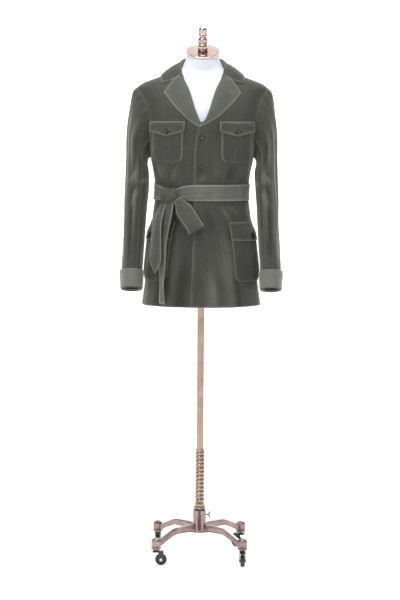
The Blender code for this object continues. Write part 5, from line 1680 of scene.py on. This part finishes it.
def turned(name, profile, steps=64):
    """A drawn profile, spun about the upright."""
    made = drawn(name, profile)
    bpy.ops.mesh.select_all(action="SELECT")
    bpy.ops.mesh.spin(steps=steps, angle=2 * math.pi, center=(0, 0, 0), axis=(0, 0, 1))
    bpy.ops.mesh.select_all(action="SELECT")
    bpy.ops.mesh.remove_doubles(threshold=0.00002)
    bpy.ops.mesh.normals_make_consistent(inside=False)
    bpy.ops.object.mode_set(mode="OBJECT")
    bpy.ops.object.shade_smooth_by_angle(angle=math.radians(50))
    return made


def smooth_profile(points, count):
    """More points on a smooth curve through a profile's own."""
    line = finer(np.array(points, dtype=float), count)
    return [tuple(p) for p in line]


def finial():
    """Stacked beads under a ball, cut to the slope of the cap."""
    base = NECK_TOP + CAP_THICK
    ball_middle = FINIAL_TOP - FINIAL_BALL
    turns = np.linspace(0, 2.15, 16)
    dome = [(FINIAL_BALL * math.sin(t), ball_middle + FINIAL_BALL * math.cos(t)) for t in turns]
    beads = [(radius, base + height) for height, radius in zip(FINIAL["height"], FINIAL["radius"])]
    lower = smooth_profile(beads[::-1], 60)
    profile = dome + lower + [(beads[0][0], base - 0.012), (0.0, base - 0.012)]
    made = turned("copper_finial", profile, 56)
    sliced(made, (0, 0, base + 0.0010), CAP_SLOPE, True)
    fit_in(made, "figure", "finial", COPPER)


# Stand


def pole():
    top = FORM_FOOT - 0.0003
    profile = [(0.0, top), (POLE_RADIUS - 0.0008, top), (POLE_RADIUS, top - 0.0008)]
    profile += [(POLE_RADIUS, z) for z in np.linspace(top - 0.01, POLE_FOOT + 0.01, 12)]
    profile += [(POLE_RADIUS, POLE_FOOT + 0.0008), (POLE_RADIUS - 0.0008, POLE_FOOT), (0.0, POLE_FOOT)]
    fit_in(turned("copper_pole", profile, 48), "figure", "pole", POLE_COPPER)


COIL_PITCH = 0.0132
COIL_DEPTH = 0.0034
COIL_ROOT = TWIST_RADIUS - 0.0016


def twist_sleeve():
    """A thick wire coiled round the pole's foot, on a bell, under a ring."""
    low = COLUMN_TOP + 0.0003
    foot, top = low + 0.018, TWIST_TOP - 0.006
    wave = np.linspace(0, 1, 13)
    strand = [(COIL_ROOT + COIL_DEPTH * math.sin(math.pi * t) ** 0.8, COIL_PITCH * t) for t in wave]
    made = drawn("copper_twist", strand)
    bpy.ops.object.mode_set(mode="OBJECT")
    wring = made.modifiers.new("wring", "SCREW")
    wring.axis = "Z"
    wring.angle = 2 * math.pi
    wring.screw_offset = COIL_PITCH
    wring.steps = 36
    wring.render_steps = 36
    wring.iterations = math.ceil((top - foot) / COIL_PITCH) + 2
    take(made)
    bpy.ops.object.modifier_apply(modifier=wring.name)
    bpy.ops.object.mode_set(mode="EDIT")
    bpy.ops.mesh.select_all(action="SELECT")
    bpy.ops.mesh.remove_doubles(threshold=0.00002)
    bpy.ops.object.mode_set(mode="OBJECT")
    made.data.transform(Matrix.Translation((0, 0, foot - 1.2 * COIL_PITCH)))
    sliced(made, (0, 0, foot), (0, 0, 1), True)
    sliced(made, (0, 0, top), (0, 0, 1), False)
    hollowed(made, rod("bore", (0, 0, 0.5 * (foot + top)), 0.4, TWIST_BORE, Matrix.Identity(4), 36))
    wide = TWIST_RADIUS + 0.0035
    bell = [(TWIST_BORE, low), (wide - 0.0008, low), (wide, low + 0.0008), (wide, low + 0.0060)]
    bell += [(wide - 0.0012, low + 0.0095), (wide - 0.0028, low + 0.0140)]
    bell += [(COIL_ROOT + 0.0012, foot + 0.0010)]
    bell += [(TWIST_BORE, foot + 0.0010), (TWIST_BORE, low)]
    ring_out = TWIST_RADIUS + 0.0008
    band = [(TWIST_BORE, top - 0.0010), (ring_out - 0.0006, top - 0.0010)]
    band += [(ring_out, top), (ring_out, TWIST_TOP - 0.0010)]
    band += [(ring_out - 0.0008, TWIST_TOP), (TWIST_BORE, TWIST_TOP), (TWIST_BORE, top - 0.0010)]
    fused(made, [turned("bell", bell, 36), turned("band", band, 36)])
    take(made)
    bpy.ops.object.shade_smooth_by_angle(angle=math.radians(45))
    fit_in(made, "base", "twist_sleeve", POLE_COPPER)


LOBE_SPREAD = 0.0105
LOBE_RADIUS = 0.0110
SCREW_HEIGHT = 0.139


def column():
    """A cast post of four round lobes, with a turned rim above, a dish below and a boss for the screw."""
    top, foot = COLUMN_TOP, COLUMN_FOOT
    profile = [(0.0, foot), (0.0150, foot), (0.0180, foot + 0.0012), (0.0190, foot + 0.0040)]
    profile += [(0.0182, foot + 0.0070), (0.0146, foot + 0.0100), (0.0146, top - 0.0140)]
    profile += [(0.0172, top - 0.0105), (0.0192, top - 0.0085), (0.0206, top - 0.0065)]
    profile += [(0.0209, top - 0.0040), (0.0200, top - 0.0012), (0.0184, top), (0.0, top)]
    made = turned("bronze_column", profile, 64)
    upright = Matrix.Identity(4)
    low, high = foot + 0.006, top - 0.011
    others = []
    for x, y in ((1, 1), (1, -1), (-1, 1), (-1, -1)):
        middle = (x * LOBE_SPREAD, y * LOBE_SPREAD, 0.5 * (low + high))
        lobe = rod("lobe", middle, high - low, LOBE_RADIUS, upright, 40)
        finish_edges(lobe, 0.0045, 5)
        others.append(lobe)
    boss = rod("boss", (0.0160, 0, SCREW_HEIGHT), 0.0110, 0.0062, Matrix.Rotation(math.pi / 2, 4, "Y"))
    finish_edges(boss, 0.0008, 3)
    others.append(boss)
    fused(made, others)
    depth = top + 0.01 - POLE_FOOT + 0.0003
    hollowed(made, rod("bore", (0, 0, POLE_FOOT - 0.0003 + 0.5 * depth), depth, BORE_RADIUS, upright, 48))
    take(made)
    bpy.ops.object.shade_smooth_by_angle(angle=math.radians(35))
    fit_in(made, "base", "column", BRONZE)


def leg_bar():
    """A humped cast bar, drawn out section by section, with round edges and a sunk panel along each side."""
    reach = np.linspace(LEG["reach"][0], LEG["reach"][-1], 27)
    height = read(LEG, "height", reach, "reach")
    deep = read(LEG, "half_depth", reach, "reach")
    low = (reach[0], -LEG_HALF, height[0] - deep[0])
    made = block("bronze_leg", low, (reach[1], LEG_HALF, height[0] + deep[0]))
    choose_faces(made, lambda face: face.normal.x > 0.9)
    bpy.ops.object.mode_set(mode="EDIT")
    bpy.ops.transform.translate(value=(0, 0, height[1] - height[0]))
    for i in range(1, len(reach)):
        if i > 1:
            step = (reach[i] - reach[i - 1], 0, height[i] - height[i - 1])
            bpy.ops.mesh.extrude_region_move(TRANSFORM_OT_translate={"value": step})
        grow = (1, 1, deep[i] / deep[i - 1])
        bpy.ops.transform.resize(value=grow, center_override=(reach[i], 0, height[i]))
    bpy.ops.object.mode_set(mode="OBJECT")
    finish_edges(made, 0.0036, 4, 45)
    choose_faces(made, lambda face: abs(face.normal.y) > 0.98)
    bpy.ops.object.mode_set(mode="EDIT")
    bpy.ops.mesh.inset(thickness=0.0022, depth=-0.0010)
    bpy.ops.object.mode_set(mode="OBJECT")
    bpy.ops.object.shade_smooth_by_angle(angle=math.radians(40))
    return made


def socket_cup():
    """The domed cup on a leg's end, with fine upright ribs and a rim."""
    wide, foot = SOCKET_RADIUS, SOCKET_FOOT
    dome = 0.75 * wide
    profile = [(0.0, foot), (wide - 0.002, foot), (wide, foot + 0.0012)]
    profile += [(wide, foot + 0.0050), (0.96 * wide, foot + 0.0062)]
    for turn in np.linspace(0.5 * math.pi, 0.0, 14):
        profile.append((0.985 * wide * math.sin(turn), SOCKET_TOP - dome + dome * math.cos(turn)))
    made = turned("bronze_socket", profile, 72)

    def in_rib(face):
        middle = face.center
        sector = int((math.atan2(middle.y, middle.x) + math.pi) / (2 * math.pi) * 72)
        return sector % 4 < 2 and foot + 0.007 < middle.z < SOCKET_TOP - 0.0015

    choose_faces(made, in_rib)
    bpy.ops.object.mode_set(mode="EDIT")
    bpy.ops.transform.shrink_fatten(value=-0.0005)
    bpy.ops.object.mode_set(mode="OBJECT")
    return made


def take(made):
    """Select one piece alone."""
    deselect()
    made.select_set(True)
    bpy.context.view_layer.objects.active = made


def choose_faces(made, wanted):
    """Select those faces of a piece that a test picks out."""
    take(made)
    bpy.ops.object.mode_set(mode="EDIT")
    bpy.ops.mesh.select_mode(type="FACE")
    bpy.ops.mesh.select_all(action="DESELECT")
    bpy.ops.object.mode_set(mode="OBJECT")
    for face in made.data.polygons:
        face.select = wanted(face)


def finish_edges(made, width, segments, angle=30):
    """Soft edges on a hard piece, and smooth shading over them."""
    take(made)
    soft = made.modifiers.new("soft edges", "BEVEL")
    soft.width = width
    soft.segments = segments
    soft.limit_method = "ANGLE"
    soft.angle_limit = math.radians(angle)
    bpy.ops.object.modifier_apply(modifier=soft.name)
    bpy.ops.object.shade_smooth_by_angle(angle=math.radians(40))


def block(name, low, high):
    """A box at its place, to be shaped further."""
    low, high = Vector(low), Vector(high)
    deselect()
    bpy.ops.mesh.primitive_cube_add(size=1.0, location=(low + high) / 2)
    made = bpy.context.active_object
    made.name = name
    made.data.transform(Matrix.Translation((low + high) / 2) @ Matrix.Diagonal((*(high - low), 1)))
    made.location = (0, 0, 0)
    return made


def rod(name, middle, depth, radius, turn, sides=32):
    deselect()
    bpy.ops.mesh.primitive_cylinder_add(vertices=sides, radius=radius, depth=depth, location=(0, 0, 0))
    made = bpy.context.active_object
    made.name = name
    made.data.transform(Matrix.Translation(Vector(middle)) @ turn)
    return made


def combined(made, other, operation):
    take(made)
    change = made.modifiers.new("combine", "BOOLEAN")
    change.operation = operation
    change.solver = "EXACT"
    change.object = other
    bpy.ops.object.modifier_apply(modifier=change.name)
    bpy.data.objects.remove(other)


def fused(made, others):
    """Several shapes joined into one solid."""
    for other in others:
        combined(made, other, "UNION")


def hollowed(made, cutter):
    """A shape with another one cut out of it."""
    combined(made, cutter, "DIFFERENCE")


def copied(made, name, place):
    """A copy with its own mesh, moved to its place."""
    twin = made.copy()
    twin.data = made.data.copy()
    twin.name = name
    bpy.context.scene.collection.objects.link(twin)
    twin.data.transform(place)
    return twin


def wing_screw():
    """A clamping screw with a collar, and two rounded wings."""
    x, z = COLUMN_FLAT + 0.0006, SCREW_HEIGHT
    along_x = Matrix.Rotation(math.pi / 2, 4, "Y")
    made = rod("steel_wing_screw", (x + 0.0056, 0, z), 0.0112, 0.0030, along_x)
    others = [rod("collar", (x + 0.0075, 0, z), 0.0030, 0.0046, along_x)]
    for lean in (1, -1):
        wing = rod("wing", (0, 0, 0), 0.0022, 0.0050, Matrix.Diagonal((0.62, 1.22, 1, 1)))
        wing.data.transform(Matrix.Rotation(math.pi / 2, 4, "X"))
        wing.data.transform(Matrix.Rotation(lean * math.radians(30), 4, "Y"))
        wing.data.transform(Matrix.Translation((x + 0.0112, 0, z + lean * 0.0064)))
        others.append(wing)
    fused(made, others)
    finish_edges(made, 0.0004, 2)
    fit_in(made, "clamp_screw", "wing_screw", STEEL)


# Castors


FORK_IN = WHEEL_HALF + FORK_GAP
FORK_OUT = FORK_IN + FORK_CHEEK
FORK_TAIL = TRAIL + 0.0085
ALONG_Y = Matrix.Rotation(math.pi / 2, 4, "X")


def castor_fork():
    """A fork at the origin that trails along X: a plate, two cheeks with pads, the axle and the stem."""
    fork = block("castor_fork", (-0.0115, -FORK_OUT, FORK_UNDER), (FORK_TAIL, FORK_OUT, FORK_TOP))
    others = []
    for near in (FORK_IN, -FORK_OUT):
        low = (TRAIL - 0.0085, near, 0.0135)
        high = (FORK_TAIL - 0.0004, near + FORK_CHEEK - 0.0003, FORK_UNDER + 0.001)
        others.append(block("cheek", low, high))
        pad = (TRAIL, near + 0.5 * FORK_CHEEK, WHEEL_CENTRE)
        others.append(rod("pad", pad, FORK_CHEEK - 0.0004, 0.0080, ALONG_Y))
    others.append(rod("axle", (TRAIL, 0, WHEEL_CENTRE), 2 * FORK_OUT + 0.001, AXLE_RADIUS, ALONG_Y))
    stem = SOCKET_FOOT - 0.0003 - FORK_TOP + 0.001
    others.append(rod("stem", (0, 0, SOCKET_FOOT - 0.0003 - 0.5 * stem), stem, 0.0085, Matrix.Identity(4)))
    fused(fork, others)
    finish_edges(fork, 0.0006, 2)
    return fork


def castor_axle():
    """The axle's two riveted heads, on a thin pin."""
    pin = rod("castor_axle", (TRAIL, 0, WHEEL_CENTRE), 2 * FORK_OUT + 0.0014, 0.0024, ALONG_Y, 24)
    heads = []
    for end in (1, -1):
        head = rod("head", (TRAIL, end * (FORK_OUT + 0.0009), WHEEL_CENTRE), 0.0014, 0.0046, ALONG_Y, 24)
        finish_edges(head, 0.0006, 3)
        heads.append(head)
    fused(pin, heads)
    take(pin)
    bpy.ops.object.shade_smooth_by_angle(angle=math.radians(40))
    return pin


WHEEL_BORE = AXLE_RADIUS + 0.0004


def castor_wheel():
    """A wheel turned with a hub, a dished web and a tread with round shoulders."""
    half, wide, bore = WHEEL_HALF, WHEEL_CENTRE, WHEEL_BORE
    face = [
        (bore, half - 0.0005), (bore + 0.0024, half - 0.0002), (bore + 0.0030, half - 0.0016),
        (wide - 0.0062, half - 0.0020), (wide - 0.0052, half - 0.0003), (wide - 0.0024, half),
        (wide - 0.0010, half - 0.0006), (wide - 0.0002, half - 0.0020), (wide, half - 0.0040),
    ]
    profile = face + [(wide, 0.0)] + [(radius, -side) for radius, side in face[::-1]] + face[:1]
    wheel = turned("castor_wheel", profile, 64)
    wheel.data.transform(Matrix.Translation((TRAIL, 0, WHEEL_CENTRE)) @ ALONG_Y)
    return wheel


def castor_brake():
    """A short brake lever with a ridge across its end."""
    lever = block("castor_brake", (0.0009, -0.006, -0.0012), (0.0140, 0.006, 0.0012))
    fused(lever, [rod("ridge", (0.0118, 0, 0.0010), 0.0110, 0.0014, ALONG_Y)])
    finish_edges(lever, 0.0005, 2)
    hang = Matrix.Translation((FORK_TAIL + 0.0003, 0, FORK_UNDER + 0.002))
    lever.data.transform(hang @ Matrix.Rotation(math.radians(12), 4, "Y"))
    return lever


def legs_and_castors():
    """Each shape is made once, and copied to the four corners."""
    bar, cup, fork, axle, wheel, lever = shapes = (
        leg_bar(), socket_cup(), castor_fork(), castor_axle(), castor_wheel(), castor_brake()
    )
    spot = LEG_REACH * math.sqrt(0.5)
    for word, way_x, way_y, swing, brake in CASTORS:
        turn = Matrix.Rotation(math.atan2(way_y, way_x), 4, "Z")
        corner = Matrix.Translation((way_x * spot, way_y * spot, 0))
        place = corner @ Matrix.Rotation(math.radians(swing), 4, "Z")
        fit_in(copied(bar, "bronze_leg_" + word, turn), "base", "leg_" + word, BRONZE)
        fit_in(copied(cup, "bronze_socket_" + word, corner), "base", "socket_" + word, BRONZE)
        fit_in(copied(fork, "castor_fork_" + word, place), "castor_" + word, "fork_" + word, BLACK)
        fit_in(copied(axle, "steel_axle_" + word, place), "castor_" + word, None, RIVET)
        tyre = copied(wheel, "castor_wheel_" + word, place)
        fit_in(tyre, "wheel_body_" + word, "wheel_" + word, BLACK)
        if brake:
            pedal = copied(lever, "castor_brake_" + word, place)
            fit_in(pedal, "brake_body_" + word, "brake_" + word, BLACK)
    for shape in shapes:
        bpy.data.objects.remove(shape)


# Floor, light and camera


def paper(name, glow):
    """Pale paper that is lit from behind a little."""
    made = Finish(name, roughness=0.9, specular_ior_level=0.1, emission_strength=glow)
    made.shader.inputs["Emission Color"].default_value = (1.0, 1.0, 1.0, 1.0)
    shade = made.noise(made.object_place(), 3.0, 2.0)
    made.feed("Base Color", made.mix(shade, (0.86, 0.86, 0.86), (0.88, 0.88, 0.88)))
    return made.material


FLOOR_SIZE = 60
FLOOR_GLOW = 0.45
WALL_AWAY = 16
WALL_GLOW = 1.0
LOW_WALL_HEIGHT = 5
ROOM_LIGHT = 0.25
# Name, place, power in watts and size of each lamp
LAMPS = (
    ("key", (-2.3, -3.3, 4.6), 124, 1.3),
    ("fill", (3.0, -3.0, 3.6), 14, 1.6),
    ("top", (0.0, -0.4, 4.4), 140, 1.8),
    ("back", (1.8, 4.2, 3.6), 62, 1.6),
)
LAMP_AIM = Vector((0, 0, 1.1))
CAMERA_SPOT = Vector((-0.0033, -6.65, 1.50))
CAMERA_AIM = Vector((-0.0033, 0.0, 0.855))
CAMERA_ANGLE = math.radians(16.8)
CAMERA_ROLL = math.radians(0.40)


def studio():
    """A pale floor, a tall wall behind and low ones round about, soft lamps and the camera."""
    deselect()
    bpy.ops.mesh.primitive_plane_add(size=FLOOR_SIZE, location=(0, 0, -0.0005))
    floor = bpy.context.active_object
    floor.name = "pale_floor"
    floor.data.materials.append(paper("floor_paper", FLOOR_GLOW))
    deselect()
    bpy.ops.mesh.primitive_plane_add(
        size=FLOOR_SIZE, location=(0, WALL_AWAY, 0), rotation=(math.pi / 2, 0, 0)
    )
    wall = bpy.context.active_object
    wall.name = "pale_wall"
    wall.data.materials.append(paper("wall_paper", WALL_GLOW))
    walls = block("low_walls", (-WALL_AWAY, -WALL_AWAY, 0), (WALL_AWAY, WALL_AWAY - 0.1, LOW_WALL_HEIGHT))
    choose_faces(walls, lambda face: abs(face.normal.z) > 0.9 or face.normal.y > 0.9)
    bpy.ops.object.mode_set(mode="EDIT")
    bpy.ops.mesh.delete(type="FACE")
    bpy.ops.object.mode_set(mode="OBJECT")
    walls.data.materials.append(wall.data.materials[0])
    world = bpy.data.worlds.new("soft_room")
    bpy.context.scene.world = world
    world.use_nodes = True
    sky = world.node_tree.nodes["Background"]
    sky.inputs["Color"].default_value = (1.0, 1.0, 1.0, 1.0)
    sky.inputs["Strength"].default_value = ROOM_LIGHT
    for name, spot, power, size in LAMPS:
        lamp = bpy.data.lights.new(name, "AREA")
        lamp.energy = power
        lamp.size = size
        made = bpy.data.objects.new(name, lamp)
        bpy.context.scene.collection.objects.link(made)
        made.location = spot
        made.rotation_euler = (LAMP_AIM - Vector(spot)).to_track_quat("-Z", "Y").to_euler()
    lens = bpy.data.cameras.new("photo_view")
    lens.sensor_fit = "VERTICAL"
    lens.sensor_height = 24
    lens.angle_y = CAMERA_ANGLE
    camera = bpy.data.objects.new("photo_view", lens)
    bpy.context.scene.collection.objects.link(camera)
    camera.location = CAMERA_SPOT
    look = (CAMERA_AIM - CAMERA_SPOT).to_track_quat("-Z", "Y").to_matrix()
    camera.rotation_euler = (look @ Matrix.Rotation(CAMERA_ROLL, 3, "Z")).to_euler()
    bpy.context.scene.camera = camera
    bpy.context.scene.view_settings.view_transform = "Standard"


studio()
front("cloth_front_left", 1, 1.0)
front("cloth_front_right", -1, 0.75)
back()
full_turn = 2 * math.pi
for word, hand in (("left", 1), ("right", -1)):
    top_span = (SLEEVE_BACK_SEAM - full_turn, SLEEVE_FRONT_SEAM)
    sleeve_piece("cloth_top_sleeve_" + word, "top_sleeve_" + word, hand, *top_span, 72, (0.300, 0.680), 0.134)
    under_span = (SLEEVE_FRONT_SEAM, SLEEVE_BACK_SEAM)
    sleeve_piece(
        "cloth_under_sleeve_" + word, "under_sleeve_" + word, hand, *under_span, 38, (0.170, 0.520), 0.0585
    )
    cuff("cloth_cuff_" + word, "cuff_" + word, hand)
    chest_pocket("cloth_chest_pocket_" + word, "chest_pocket_" + word, hand)
    chest_flap("cloth_chest_flap_" + word, "chest_flap_" + word, hand)
    hip_pocket("cloth_hip_pocket_" + word, "hip_pocket_" + word, hand)
    hip_flap("cloth_hip_flap_" + word, "hip_flap_" + word, hand)
    button_on(
        "horn_chest_button_" + word, "chest_button_" + word, chest_ground, hand, CHEST_ACROSS, CHEST_BUTTON
    )
    button_on("horn_hip_button_" + word, "hip_button_" + word, hip_ground, hand, 0.0, HIP_BUTTON)
    stitch_chest("stitching_chest_" + word, hand)
    stitch_hip("stitching_hip_" + word, hand)
lapel("cloth_lapel_left", "lapel_left", 1, *LAPEL_LEFT)
lapel("cloth_lapel_right", "lapel_right", -1, *LAPEL_RIGHT)
stitch_lapel("stitching_lapel_left", 1, *LAPEL_LEFT)
stitch_lapel("stitching_lapel_right", -1, *LAPEL_RIGHT)
buttonhole()
collar()
stitch_collar()
stitch_fronts()
for count, level in enumerate(FRONT_BUTTONS, 1):
    button_on("horn_front_button_%d" % count, "front_button_%d" % count, front_ground, 1, 0.0, level)
belt_band()
belt_knot()
belt_loop()
belt_tail("cloth_belt_tail_long", "belt_tail_long", LONG_TAIL, 0.004)
belt_tail("cloth_belt_tail_short", "belt_tail_short", SHORT_TAIL, 0.005)
stitch_belt()
dress_form()
neck_cap()
finial()
pole()
twist_sleeve()
column()
wing_screw()
legs_and_castors()
